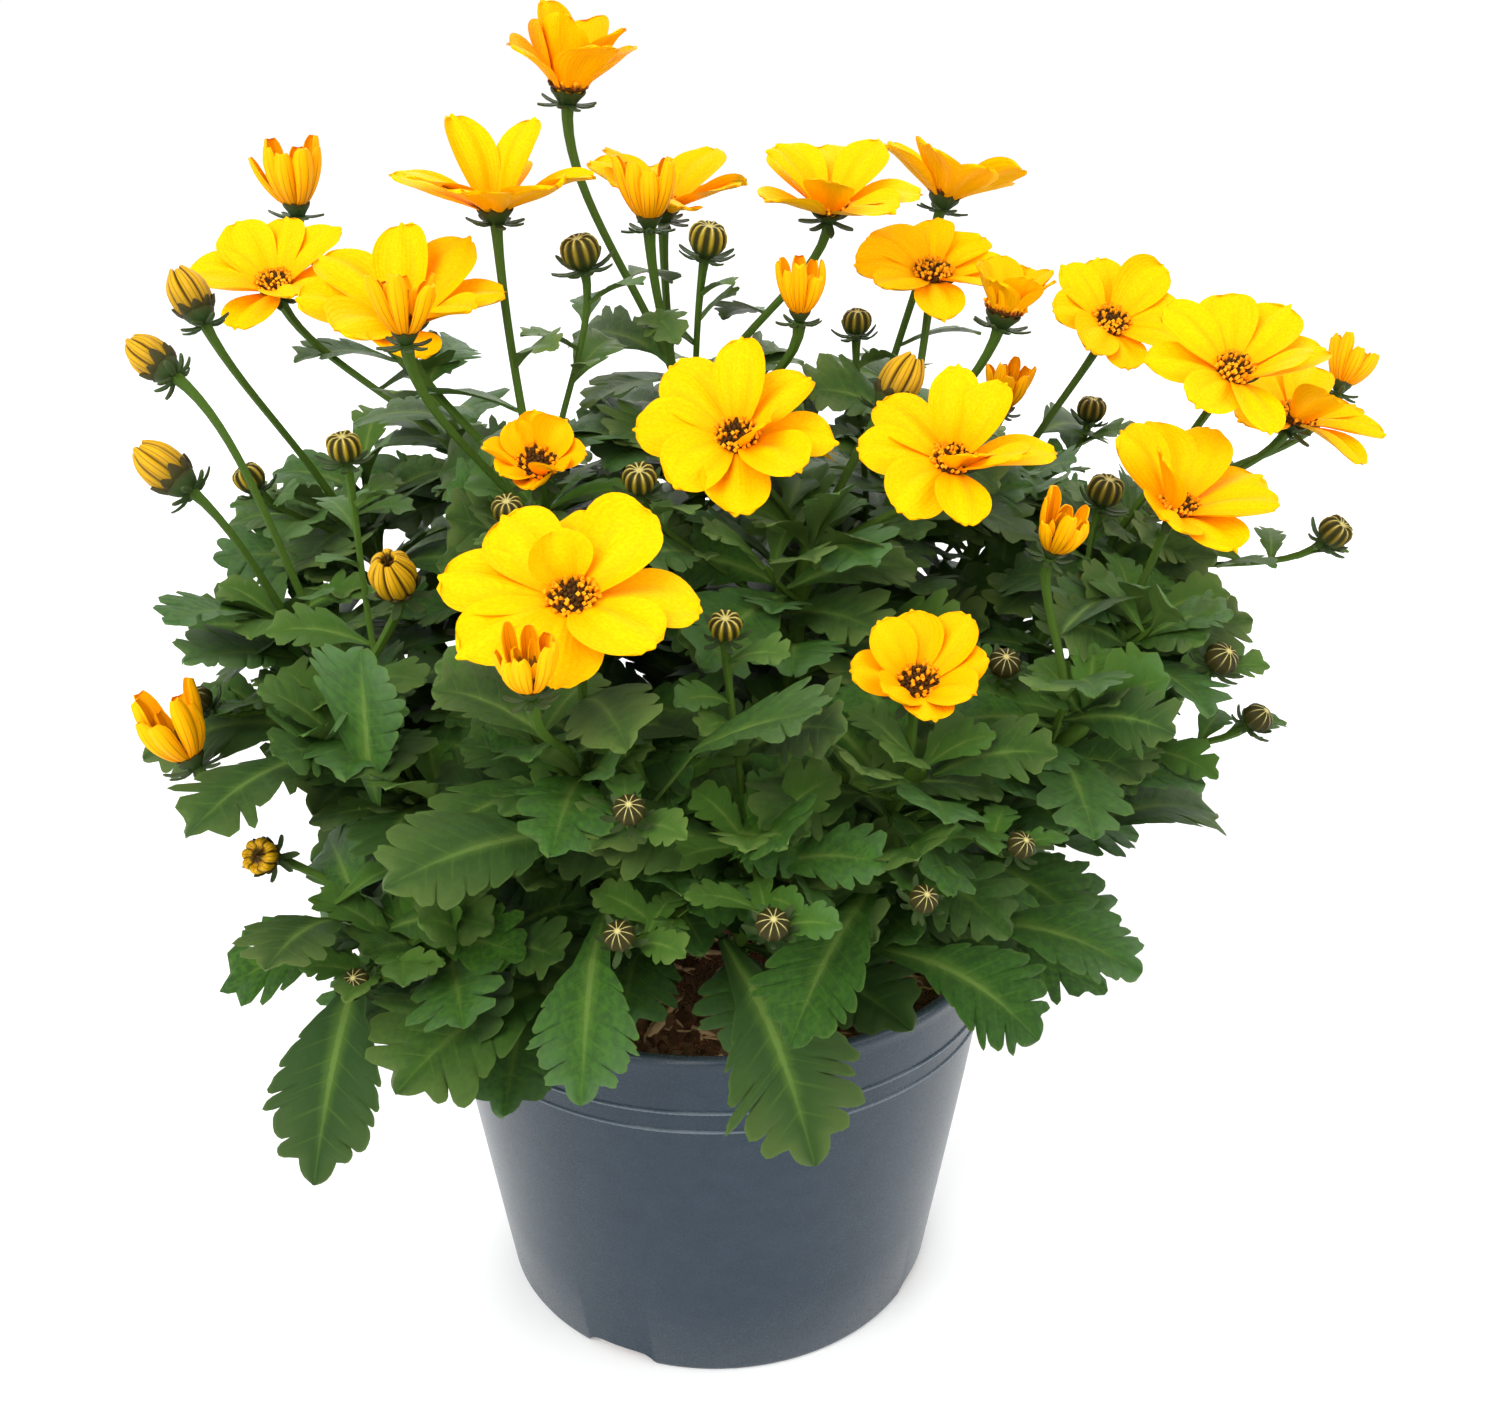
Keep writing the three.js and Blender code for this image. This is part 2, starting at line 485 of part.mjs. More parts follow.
// Small closed buds on twigs.
const KNOBS = [
  { stem: 13, fork: 0.75, seat: [-70, -26, 201], facing: [-90, 70], scale: 1 },
  { stem: 16, fork: 0.7, seat: [-14, -27, 195], facing: [-90, 60], scale: 1 },
  { stem: 15, fork: 0.7, seat: [-38, -38, 192], facing: [-90, 60], scale: 0.9 },
  { stem: 17, fork: 0.75, seat: [-1, 12, 236], facing: [-60, 70], scale: 1.2 },
  { stem: 15, fork: 0.92, seat: [-26, 6, 234], facing: [-120, 70], scale: 1.2 },
  { stem: 18, fork: 0.7, seat: [33, 36, 217], facing: [-90, 76], scale: 1 },
  { stem: 7, fork: 0.8, seat: [95, 64, 192], facing: [-60, 80], scale: 1.1 },
  { stem: 5, fork: 0.75, seat: [86, 12, 183], facing: [-60, 70], scale: 1.2 },
  { stem: 6, fork: 0.78, seat: [136, 8, 175], facing: [-50, 50], scale: 1.1 },
  { stem: 5, fork: 0.6, seat: [103, -24, 157], facing: [-60, 50], scale: 1.1 },
  { stem: 4, fork: 0.7, seat: [112, -24, 144], facing: [-40, 50], scale: 1 },
  { stem: 4, fork: 0.6, seat: [57, -34, 160], facing: [-90, 50], scale: 1 },
  { stem: 2, fork: 0.85, seat: [2, -60, 176], facing: [-90, 60], scale: 0.9 },
  { stem: 1, fork: 0.7, seat: [-14, -90, 155], facing: [-90, 50], scale: 0.85 },
  { stem: 2, fork: 0.7, seat: [-16, -92, 133], facing: [-100, 50], scale: 0.85 },
  { stem: 2, fork: 0.92, seat: [9, -96, 137], facing: [-85, 50], scale: 0.9 },
  { stem: 3, fork: 0.75, seat: [35, -86, 136], facing: [-75, 50], scale: 0.8 },
  { stem: 3, fork: 0.82, seat: [53, -76, 141], facing: [-60, 50], scale: 0.8 },
  { stem: 14, fork: 0.95, seat: [-63, -82, 119], facing: [-100, 50], scale: 0.75 },
  { stem: 12, fork: 0.7, seat: [-104, -24, 150], facing: [-140, 50], scale: 0.95 },
  { stem: 11, fork: 0.85, seat: [-97, 4, 189], facing: [-150, 60], scale: 1 },
  { stem: 10, fork: 0.8, seat: [-40, 84, 184], facing: [110, 60], scale: 1.1 },
  { stem: 8, fork: 0.8, seat: [52, 92, 182], facing: [70, 60], scale: 1.1 },
]

// Large leaves that show plainly, from the blade's base to its tip, with width and arch.
const LARGE_LEAVES = [
  { stem: 1, fork: 0.72, base: [-26, -72, 143], tip: [-54, -94, 144], width: 22, arch: 5 },
  { stem: 2, fork: 0.6, base: [-6, -74, 158], tip: [17, -86, 171], width: 20, arch: 3 },
  { stem: 13, fork: 0.8, base: [-64, -56, 146], tip: [-62, -62, 174], width: 20, arch: 2 },
  { stem: 14, fork: 0.98, base: [-66, -75, 114], tip: [-72, -92, 84], width: 19, arch: 6 },
  { stem: 14, fork: 0.6, base: [-32, -66, 108], tip: [-56, -92, 103], width: 26, arch: 8 },
  { stem: 2, fork: 0.35, base: [5, -76, 116], tip: [17, -94, 88], width: 23, arch: 8 },
  { stem: 3, fork: 0.4, base: [36, -72, 117], tip: [57, -86, 108], width: 20, arch: 6 },
  { stem: 4, fork: 0.4, base: [52, -58, 116], tip: [78, -74, 114], width: 20, arch: 6 },
  { stem: 3, fork: 0.55, base: [26, -76, 131], tip: [12, -96, 114], width: 19, arch: 6 },
  { stem: 5, fork: 0.45, base: [78, -28, 122], tip: [106, -26, 124], width: 24, arch: 7 },
  { stem: 12, fork: 0.5, base: [-82, -18, 142], tip: [-118, -24, 138], width: 22, arch: 9 },
  { stem: 1, fork: 0.5, base: [-22, -76, 122], tip: [-24, -92, 100], width: 17, arch: 6 },
]

// Leafy stems rise from the soil and lean out; the first stretch stands nearly upright in its hole.
const stems = STEMS.map(({ hole, end, pairs }, index) => {
  const root = vector(hole[0], hole[1], SOIL_TOP - HOLE_DEPTH)
  const top = vector(...end)
  const bend = root.clone().lerp(top, 0.42).setZ(THREE.MathUtils.lerp(root.z, top.z, 0.6))
  const curve = new THREE.QuadraticBezierCurve3(root, bend, top)
  return { number: index + 1, pairs, curve, heads: [], leaves: [] }
})

// A head's stalk leaves its stem along the stem's own direction and ends square under the calyx.
function prepareHead(entry, number, kind) {
  const facing = heading(...entry.facing)
  const head = { ...entry, number, kind, facing, seat: vector(...entry.seat), scale: entry.scale ?? 1 }
  const stem = stems[entry.stem - 1]
  const start = stem.curve.getPoint(entry.fork)
  const leave = stem.curve.getTangent(entry.fork).addScaledVector(UP, 0.7).normalize()
  const reach = start.distanceTo(head.seat)
  head.curve = new THREE.CubicBezierCurve3(start, start.clone().addScaledVector(leave, reach * 0.35),
    head.seat.clone().addScaledVector(facing, -reach * 0.3), head.seat.clone().addScaledVector(facing, -1.2))
  stem.heads.push(head)
  return head
}
const blooms = BLOOMS.map((entry, i) => prepareHead(entry, i + 1, 'bloom'))
const cups = CUPS.map((entry, i) => prepareHead(entry, i + 31, 'cup'))
const buds = BUDS.map((entry, i) => prepareHead(entry, i + 51, 'bud'))
KNOBS.forEach((entry, i) => prepareHead(entry, i + 71, 'knob'))

// What a leaf has to keep clear of: stems, stalks and heads of other stems, and the pot.
const obstacles = []
for (const stem of stems) {
  for (const curve of [stem.curve, ...stem.heads.map((head) => head.curve)]) {
    const count = Math.ceil(curve.getLength() / 4)
    curve.getPoints(count).forEach((point) => obstacles.push({ stem, point, room: STEM_CLEARANCE }))
  }
  for (const head of stem.heads) {
    const size = { bloom: head.reach * 0.8, cup: 8 * head.scale, bud: 6 * head.scale, knob: 4 * head.scale }[head.kind]
    const middle = head.seat.clone().addScaledVector(head.facing, size * 0.5)
    obstacles.push({ stem: null, point: middle, room: size + BLOOM_CLEARANCE })
  }
}
const isClear = (leaf, stem) => leafPoints(leaf).every((point) => {
  const flat = Math.hypot(point.x, point.y)
  if (flat < RIM_RADIUS + 3 && point.z < POT_HEIGHT + 4) return false
  return obstacles.every((other) => {
    if (other.stem !== stem) return other.point.distanceTo(point) > other.room
    return other.point.distanceTo(leaf.root) < PETIOLE || other.point.distanceTo(point) > OWN_CLEARANCE
  })
})
function keep(leaf, stem) {
  stem.leaves.push(leaf)
  for (const point of leafPoints(leaf)) obstacles.push({ stem, point, room: LEAF_CLEARANCE })
}

LARGE_LEAVES.forEach((entry, i) => {
  const stem = stems[entry.stem - 1]
  keep({ ...entry, root: stem.curve.getPoint(entry.fork), base: vector(...entry.base), tip: vector(...entry.tip),
    roll: 0.2 * draw(i, 3), large: true }, stem)
})

// Other leaves stand in pairs, each pair turned a quarter from the last. One that would touch
// another stem's leaf turns aside in steps until it is clear, and is left out if none will do.
const TURNS = [0, 18, -18, 36, -36, 54, -54, 75, -75]
const RISES = [0, 16, -16, 30]
for (const stem of stems) {
  for (let i = 0; i < 2 * stem.pairs; i++) {
    const fork = THREE.MathUtils.lerp(LEAVES_FROM, LEAVES_TO, (Math.floor(i / 2) + 0.3) / stem.pairs)
    const root = stem.curve.getPoint(fork)
    const outwards = THREE.MathUtils.radToDeg(Math.atan2(root.y, root.x))
    const piece = stem.number * 10 + i
    const side = (i % 2 ? 1 : -1) * (Math.floor(i / 2) % 2 ? 62 : 38)
    const size = THREE.MathUtils.lerp(1.05, 0.8, fork) * (1 + 0.1 * draw(piece, 1))
    const rise = THREE.MathUtils.lerp(-6, 32, fork) + 10 * draw(piece, 2)
    const tries = RISES.flatMap((lift) => TURNS.map((turn) => [turn, lift]))
    for (const [turn, lift] of tries) {
      const way = heading(outwards + side + turn, rise + lift)
      const base = root.clone().addScaledVector(way, PETIOLE * size)
      const tip = base.clone().addScaledVector(way, LEAF_LENGTH * size).addScaledVector(UP, -8 * size)
      const leaf = { root, base, tip, width: LEAF_WIDTH * size, arch: 5 * size, roll: 0.35 * draw(piece, 3) }
      if (isClear(leaf, stem)) {
        keep(leaf, stem)
        break
      }
    }
  }
}

// Everything green of one stem grows together as one piece.
function makeStem(stem) {
  const main = loft(barRings(stem.curve, STEM_RADIUS, STALK_RADIUS, STEM_STEPS, STEM_SIDES))
  const heads = stem.heads.map((head) => (head.kind === 'knob' ? makeKnob(head) : makeStalk(head)))
  return [...heads, ...stem.leaves.map(makeLeaf)].reduce((whole, next) => whole.add(next), main)
}

const plant = new THREE.Group()
const number = (value) => String(value).padStart(2, '0')
function place(name, solid, colour, roughness) {
  const { points, triangles } = cleanFaces(solid)
  const geometry = new THREE.BufferGeometry().setFromPoints(points).setIndex(triangles.flat())
  geometry.computeVertexNormals()
  const node = new THREE.Mesh(geometry, new THREE.MeshStandardMaterial({ color: colour, roughness, metalness: 0 }))
  node.name = name
  plant.add(node)
}

place('pot', makePot(), 0x52616d, 0.35)
place('soil', makeSoil(stems), 0x5e4030, 0.95)
for (const stem of stems) place(`stem_${number(stem.number)}`, makeStem(stem), 0x3d6b33, 0.55)
blooms.forEach((head, i) => place(`bloom_${number(i + 1)}`, makeBloom(head), 0xffd800, 0.5))
cups.forEach((head, i) => place(`half_open_${number(i + 1)}`, makeCup(head), 0xf0a818, 0.5))
buds.forEach((head, i) => place(`bud_${number(i + 1)}`, makeBud(head), 0xd9a520, 0.5))

export default plant
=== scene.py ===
# Potted bidens: a bushy plant with yellow daisy-like heads in a round grower's pot.
# Written in millimetres and turned to metres as each mesh is made. The origin is on the pot's axis,
# at the level it stands on; -Y is its front, towards the camera.
import math

import bpy
import numpy as np
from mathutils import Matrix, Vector, noise


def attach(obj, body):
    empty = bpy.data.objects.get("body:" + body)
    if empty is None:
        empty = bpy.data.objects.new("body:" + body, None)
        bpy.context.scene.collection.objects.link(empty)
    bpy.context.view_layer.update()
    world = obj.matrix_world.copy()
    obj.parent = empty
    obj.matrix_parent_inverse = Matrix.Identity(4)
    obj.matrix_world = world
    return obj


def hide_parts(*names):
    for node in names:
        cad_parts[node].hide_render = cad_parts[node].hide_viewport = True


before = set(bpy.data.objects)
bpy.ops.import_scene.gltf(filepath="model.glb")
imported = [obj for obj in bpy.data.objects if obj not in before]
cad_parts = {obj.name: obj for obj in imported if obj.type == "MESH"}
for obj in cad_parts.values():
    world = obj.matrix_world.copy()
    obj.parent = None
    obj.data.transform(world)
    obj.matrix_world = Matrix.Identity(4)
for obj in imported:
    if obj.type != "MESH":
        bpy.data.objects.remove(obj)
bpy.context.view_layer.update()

MM = 0.001

# Camera, floor and light
# The photo was taken from about 31 cm in front of the pot's axis and 26 cm up, looking down. The
# pot stands on a plain white ground in even light that comes mostly from above and the left.
CAMERA_PLACE = (0, -312.7, 257.8)
CAMERA_DOWN = 20.94
CAMERA_RIGHT = 1.44
LENS = 36
FILM_WIDTH = 36
SEEN_FROM, SEEN_TO = 10, 40000
LAMP_AIM = (0, 0, 130)
LAMPS = {
    "key_lamp": {"place": (-550, -750, 1050), "size": 900, "watts": 14},
    "fill_lamp": {"place": (850, -350, 700), "size": 800, "watts": 4},
    "back_lamp": {"place": (100, 900, 900), "size": 900, "watts": 8},
    "front_lamp": {"place": (-350, -1200, 500), "size": 350, "watts": 2},
}
SKY_TURNS, SKY_TURNED = 0.16, 0.5
SKY_AT_HORIZON, SKY_ABOVE = 1.02, 0.7
FLOOR_SIZE = 30000
FLOOR_DROP = 0.2
FLOOR_GREY = (0.9, 0.9, 0.9)
FLOOR_DARK, FLOOR_LIGHT = 0.88, 0.93
GLOW_STARTS, GLOW_ENDS = 0.3, 1.5
GLOW_NEAR, GLOW_FAR = 0.14, 0.5

bpy.context.scene.view_settings.view_transform = "Standard"
lens = bpy.data.cameras.new("camera")
lens.lens = LENS
lens.sensor_width = FILM_WIDTH
lens.clip_start = SEEN_FROM * MM
lens.clip_end = SEEN_TO * MM
camera = bpy.data.objects.new("camera", lens)
camera.location = Vector(CAMERA_PLACE) * MM
camera.rotation_euler = (math.radians(90 - CAMERA_DOWN), 0, math.radians(-CAMERA_RIGHT))
bpy.context.scene.collection.objects.link(camera)
bpy.context.scene.camera = camera

for name, lamp in LAMPS.items():
    light = bpy.data.lights.new(name, "AREA")
    light.size = lamp["size"] * MM
    light.energy = lamp["watts"]
    holder = bpy.data.objects.new(name, light)
    holder.location = Vector(lamp["place"]) * MM
    aim = Vector(LAMP_AIM) * MM - holder.location
    holder.rotation_euler = aim.to_track_quat("-Z", "Y").to_euler()
    bpy.context.scene.collection.objects.link(holder)


class Amount:
    """A number that a material works out at each spot, for plain sums with others."""

    def __init__(self, nodes, socket):
        self.nodes, self.socket = nodes, socket

    def calc(self, operation, other=0.0):
        return self.nodes.amount("Math", {0: self, 1: other}, operation=operation)

    def __add__(self, other):
        return self.calc("ADD", other)

    def __sub__(self, other):
        return self.calc("SUBTRACT", other)

    def __mul__(self, other):
        return self.calc("MULTIPLY", other)

    def __truediv__(self, other):
        return self.calc("DIVIDE", other)

    def __abs__(self):
        return self.calc("ABSOLUTE")

    def ramp(self, low, high, begin=0.0, end=1.0, kind="LINEAR"):
        """An even change from one number to another as this one rises from low to high."""
        return self.nodes.amount("MapRange", {"Value": self, "From Min": low, "From Max": high,
                                              "To Min": begin, "To Max": end}, interpolation_type=kind)

    def fade(self, low, high, begin=0.0, end=1.0):
        """The same change, but gentle at both ends."""
        return self.ramp(low, high, begin, end, "SMOOTHSTEP")


class Nodes:
    """The nodes of the sky or of one material, with short ways to add and join them."""

    def __init__(self, tree):
        self.tree = tree

    def put(self, socket, value):
        """Set a socket to a plain value, or join it to what another node gives."""
        value = value.socket if isinstance(value, Amount) else value
        if isinstance(value, bpy.types.NodeSocket):
            self.tree.links.new(value, socket)
        else:
            socket.default_value = value

    def add(self, kind, sockets=None, **settings):
        made = self.tree.nodes.new("ShaderNode" + kind)
        for setting, value in settings.items():
            setattr(made, setting, value)
        for socket, value in (sockets or {}).items():
            self.put(made.inputs[socket], value)
        return made

    def amount(self, kind, sockets, output=0, **settings):
        return Amount(self, self.add(kind, sockets, **settings).outputs[output])

    def split(self, vector):
        """The three numbers of a vector."""
        return [Amount(self, part) for part in self.add("SeparateXYZ", {"Vector": vector}).outputs]

    def noise(self, scale, detail, roughness=0.5):
        return self.amount("TexNoise", {"Scale": scale, "Detail": detail, "Roughness": roughness}, "Fac")


class Finish(Nodes):
    """A material that starts from one even colour and has others laid over it, share by share."""

    def __init__(self, name, colour, roughness, specular):
        self.material = bpy.data.materials.new(name)
        self.material.use_nodes = True
        super().__init__(self.material.node_tree)
        self.skin = self.tree.nodes["Principled BSDF"].inputs
        self.skin["Roughness"].default_value = roughness
        self.skin["Specular IOR Level"].default_value = specular
        self.skin["Base Color"].default_value = (*colour, 1)
        self.colour = colour

    def marks(self, name):
        """The three numbers that each point of a piece carries under a name."""
        return self.split(self.add("Attribute", attribute_name=name).outputs["Vector"])

    def blend(self, share, first, second):
        """A mix of two colours, each a plain colour or what another node gives."""
        first, second = ((*colour, 1) if isinstance(colour, tuple) else colour for colour in (first, second))
        return self.add("Mix", {0: share, 6: first, 7: second}, data_type="RGBA").outputs[2]

    def coat(self, share, colour):
        self.colour = self.blend(share, self.colour, colour)

    def bump(self, height, strength, distance):
        relief = self.add("Bump", {"Height": height, "Strength": strength, "Distance": distance * MM})
        self.put(self.skin["Normal"], relief.outputs["Normal"])

    def close(self):
        """Give the shader the colour that has been built up, and hand back the material."""
        self.put(self.skin["Base Color"], self.colour)
        return self.material


sky = bpy.data.worlds.new("studio")
sky.use_nodes = True
bpy.context.scene.world = sky
sky_nodes = Nodes(sky.node_tree)
sky_light = sky.node_tree.nodes["Background"].inputs
sky_light["Color"].default_value = (1, 1, 1, 1)
sky_height = sky_nodes.split(sky_nodes.add("TexCoord").outputs["Generated"])[2]
sky_nodes.put(sky_light["Strength"], sky_height.ramp(SKY_TURNS, SKY_TURNED, SKY_AT_HORIZON, SKY_ABOVE))

paper = Finish("white_ground", FLOOR_GREY, 0.9, 0.1)
paper.colour = paper.noise(3.0, 2.0).ramp(0.0, 1.0, FLOOR_DARK, FLOOR_LIGHT)
floor_place = paper.add("TexCoord").outputs["Object"]
from_pot = paper.amount("VectorMath", {0: floor_place}, "Value", operation="LENGTH")
paper.put(paper.skin["Emission Color"], (1, 1, 1, 1))
paper.put(paper.skin["Emission Strength"], from_pot.ramp(GLOW_STARTS, GLOW_ENDS, GLOW_NEAR, GLOW_FAR))
floor_mesh = bpy.data.meshes.new("ground")
reach = FLOOR_SIZE / 2 * MM
floor_mesh.from_pydata([(-reach, -reach, 0), (reach, -reach, 0), (reach, reach, 0), (-reach, reach, 0)], [],
                       [(0, 1, 2, 3)])
floor_mesh.materials.append(paper.close())
ground = bpy.data.objects.new("ground", floor_mesh)
ground.location.z = -FLOOR_DROP * MM
bpy.context.scene.collection.objects.link(ground)


# Pot
# A 13 cm grower's pot, one injection moulding of slate blue-grey polypropylene. It has a rolled
# lip, a collar that steps in over a short taper between two fine beads, and four drain notches.
RIM_RADIUS = 65
POT_HEIGHT = 90.3
FOOT_RADIUS = 51.8
POT_FLOOR = 2
POT_AXIS = 0.4
POT_UNDERSIDE = [(POT_AXIS, 0.6), (30, 0.6), (47, 0.6), (48, 0), (50.4, 0), (51.3, 0.25)]
POT_WALL = [(FOOT_RADIUS, 1.2), (55.1, 22.5), (57.6, 39), (60, 55), (61.5, 66)]
LOWER_BEAD = [(62.3, 71.7), (62.85, 71.85), (63.15, 72.1), (63.17, 72.4), (62.85, 72.75)]
BETWEEN_BEADS = [(62.95, 74)]
UPPER_BEAD = [(63.2, 76.8), (63.85, 76.95), (64.12, 77.2), (64.14, 77.5), (63.75, 77.85)]
POT_COLLAR = [(63.9, 79), (64.5, 86)]
POT_LIP = [(64.7, 87.8), (64.95, 88.5), (RIM_RADIUS, 89.1), (64.85, 89.7), (64.45, 90.15), (63.9, POT_HEIGHT),
           (63.2, POT_HEIGHT), (62.6, 90.1), (62.2, 89.5), (62, 88.7)]
POT_INSIDE = [(61.9, 84), (61.3, 72), (60, 63), (58.4, 55), (50.3, 3), (49, POT_FLOOR), (25, POT_FLOOR),
              (POT_AXIS, POT_FLOOR)]
POT_STEPS = 160
POT_CREASE = 42
DRAIN_COUNT = 4
DRAIN_TURN = -116
DRAIN_WIDTH = 18
DRAIN_DEPTH, DRAIN_OVERCUT = 12, 4
# Half of a drain notch: how far aside as a share of half its width, then height.
DRAIN_ARCH = [(1, -3), (0.96, 0.4), (0.86, 1.8), (0.7, 2.7), (0.5, 3)]
POT_BLUE = (0.007, 0.021, 0.037)
POT_BLUE_PALE = (0.02, 0.04, 0.06)
POT_PAINTED_HIGHLIGHT = (0.12, 0.15, 0.18)
# Painted highlights: pale bands where the beads and the lip catch the light, as the height of each band and
# how strongly.
HIGHLIGHT_LINES = ((72.2, 0.8), (77.3, 0.8), (90.2, 0.5))
HIGHLIGHT_FULL, HIGHLIGHT_GONE = 0.2, 0.6


class Skins:
    """Closed skins gathered for one piece: points in millimetres, faces, finishes and marks.

    Each skin runs through rings of points and is closed at both ends. `where` says for each point
    how far along and across its part it lies, and `tone` holds traits of the whole part."""

    def __init__(self):
        self.points, self.faces, self.finishes, self.where, self.tone = [], [], [], [], []
        self.count = 0

    def add(self, rings, where=None, tone=(0, 0, 0), finish=0):
        rings = np.asarray(rings, float)
        rows, sides = rings.shape[:2]
        ends = rings[[0, -1]].mean(1)
        points = np.concatenate([rings.reshape(-1, 3), ends])
        index = np.arange(rows * sides).reshape(rows, sides)
        after = np.roll(index, -1, 1)
        quads = np.stack([index[:-1], after[:-1], after[1:], index[1:]], -1).reshape(-1, 4)
        first, last = rows * sides, rows * sides + 1
        caps = [(first, b, a) for a, b in zip(index[0], after[0])]
        caps += [(last, a, b) for a, b in zip(index[-1], after[-1])]
        # The faces look outwards when the volume that they enclose comes out above zero.
        a, b, c, d = (points[quads[:, i]] for i in range(4))
        inside = points.mean(0)
        volume = np.einsum("ij,ij->", a - inside, np.cross(b - inside, c - inside))
        volume += np.einsum("ij,ij->", a - inside, np.cross(c - inside, d - inside))
        if volume < 0:
            quads = quads[:, ::-1]
            caps = [face[::-1] for face in caps]
        if where is None:
            where = np.zeros((rows, sides, 3))
        where = np.asarray(where, float)
        self.points.append(points)
        self.where.append(np.concatenate([where.reshape(-1, 3), where[[0, -1]].mean(1)]))
        self.tone.append(np.tile(np.asarray(tone, float), (len(points), 1)))
        self.faces += (quads + self.count).tolist()
        self.faces += [tuple(corner + self.count for corner in face) for face in caps]
        self.finishes += [finish] * (len(quads) + len(caps))
        self.count += len(points)

    def piece(self, name, materials, sharp=None):
        """One object of all the skins, in metres, with smooth shading."""
        mesh = bpy.data.meshes.new(name)
        mesh.from_pydata((np.concatenate(self.points) * MM).tolist(), [], self.faces)
        for material in materials:
            mesh.materials.append(material)
        mesh.polygons.foreach_set("material_index", self.finishes)
        mesh.polygons.foreach_set("use_smooth", [True] * len(self.faces))
        for label, rows in (("where", self.where), ("tone", self.tone)):
            layer = mesh.attributes.new(label, "FLOAT_VECTOR", "POINT")
            layer.data.foreach_set("vector", np.concatenate(rows).astype(np.float32).ravel())
        if sharp:
            mesh.set_sharp_from_angle(angle=math.radians(sharp))
        made = bpy.data.objects.new(name, mesh)
        bpy.context.scene.collection.objects.link(made)
        return made


def ring_turns(count):
    """Even turns round a full circle, in radians."""
    return np.linspace(0, 2 * np.pi, count, endpoint=False)


def turned_rings(profile, steps):
    turn = ring_turns(steps)
    circle = np.stack([np.cos(turn), np.sin(turn)], -1)
    return [np.column_stack([circle * radius, np.full(steps, height)]) for radius, height in profile]


def drain_cutter():
    """The four arched notches at the foot, as solids to take away from the pot."""
    cutters = Skins()
    arch = [(-aside, height) for aside, height in DRAIN_ARCH] + DRAIN_ARCH[::-1]
    for i in range(DRAIN_COUNT):
        turn = math.radians(DRAIN_TURN + 360 / DRAIN_COUNT * i)
        out = np.array([math.cos(turn), math.sin(turn), 0])
        side = np.array([-out[1], out[0], 0])
        cutters.add([[out * radius + side * aside * DRAIN_WIDTH / 2 + np.array([0, 0, height])
                      for aside, height in arch]
                     for radius in (FOOT_RADIUS - DRAIN_DEPTH, FOOT_RADIUS + DRAIN_OVERCUT)])
    return cutters.piece("drain_cutter", [])


slate = Finish("slate_polypropylene", POT_BLUE, 0.28, 0.38)
slate.coat(slate.noise(22.0, 4.0, 0.55).ramp(0.35, 0.75, 0.0, 0.35), POT_BLUE_PALE)
pot_height = slate.split(slate.add("TexCoord").outputs["Object"])[2]
# Paint the pale highlight bands along the beads and the lip.
for line_height, strength in HIGHLIGHT_LINES:
    from_line = abs(pot_height - line_height * MM)
    slate.coat(from_line.fade(HIGHLIGHT_FULL * MM, HIGHLIGHT_GONE * MM, strength, 0.0), POT_PAINTED_HIGHLIGHT)
slate.put(slate.skin["Roughness"], slate.noise(180.0, 5.0, 0.7).ramp(0.0, 1.0, 0.22, 0.32))
slate.bump(slate.noise(900.0, 2.0), 0.02, 0.2)

pot_profile = (POT_UNDERSIDE + POT_WALL + LOWER_BEAD + BETWEEN_BEADS + UPPER_BEAD + POT_COLLAR + POT_LIP
               + POT_INSIDE)
pot_skins = Skins()
pot_skins.add(turned_rings(pot_profile, POT_STEPS))
pot = pot_skins.piece("pot_moulding", [slate.close()])
cutter = drain_cutter()
cut = pot.modifiers.new("drain", "BOOLEAN")
cut.operation = "DIFFERENCE"
cut.solver = "EXACT"
cut.object = cutter
bpy.context.view_layer.update()
notched = bpy.data.meshes.new_from_object(pot.evaluated_get(bpy.context.evaluated_depsgraph_get()))
pot.modifiers.clear()
pot.data = notched
bpy.data.objects.remove(cutter)
notched.set_sharp_from_angle(angle=math.radians(POT_CREASE))
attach(pot, "root")
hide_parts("pot")


# Soil
# Moist coir and bark mulch that fills the pot to a few millimetres under the lip. Reddish-brown
# crumbs lie loose on it, with flat bark chips and tan fibres, some of them frayed at the end.
SOIL_TOP = 84
SOIL_RADIUS = 60.9
SOIL_RINGS = 64
SOIL_STEPS = 180
SOIL_BODY = ((0.5, 2.3), (49.9, 2.3), (58.1, 55), (60.6, 72.3))
SOIL_SETTLED = 0.9
EDGE_SINK = 1.6
# Unevenness of the surface: span and height of the mounds, and of the crumbs that lie on them.
MOUNDS = ((17, 1.2), (5.5, 0.8))
MOUND_SHARE = 0.6
GRAINS = ((2.1, 1.1), (0.9, 0.45))
CRUMBS, FRONT_CRUMBS = 700, 420
CRUMB_SMALLEST, CRUMB_SPREAD, CRUMB_LUMP = 0.55, 0.6, 0.9
FRONT_BREADTH, FRONT_DEPTH = 0.97, 26
CHIPS = 80
CHIP_SIZE, CHIP_SPREAD, CHIP_FLATNESS = 2.2, 1.2, 0.35
LUMP_SIDES = 7
LUMP_LEVELS = ((-0.92, 0.3), (-0.5, 0.85), (0.1, 1), (0.6, 0.75), (0.95, 0.25))
LOOSE_REACH = 0.965
FIBRES = 240
FIBRE_LENGTH, FIBRE_SPREAD, FIBRE_BOW = 5, 4, 1.6
FIBRE_SWELL = np.array([1, 1.2, 1.3, 1.2, 1, 0.5])
BARK_STRIPS = 34
STRIP_LENGTH, STRIP_SPREAD = 9, 4
STRIP_HALF_THICKNESS = 0.42
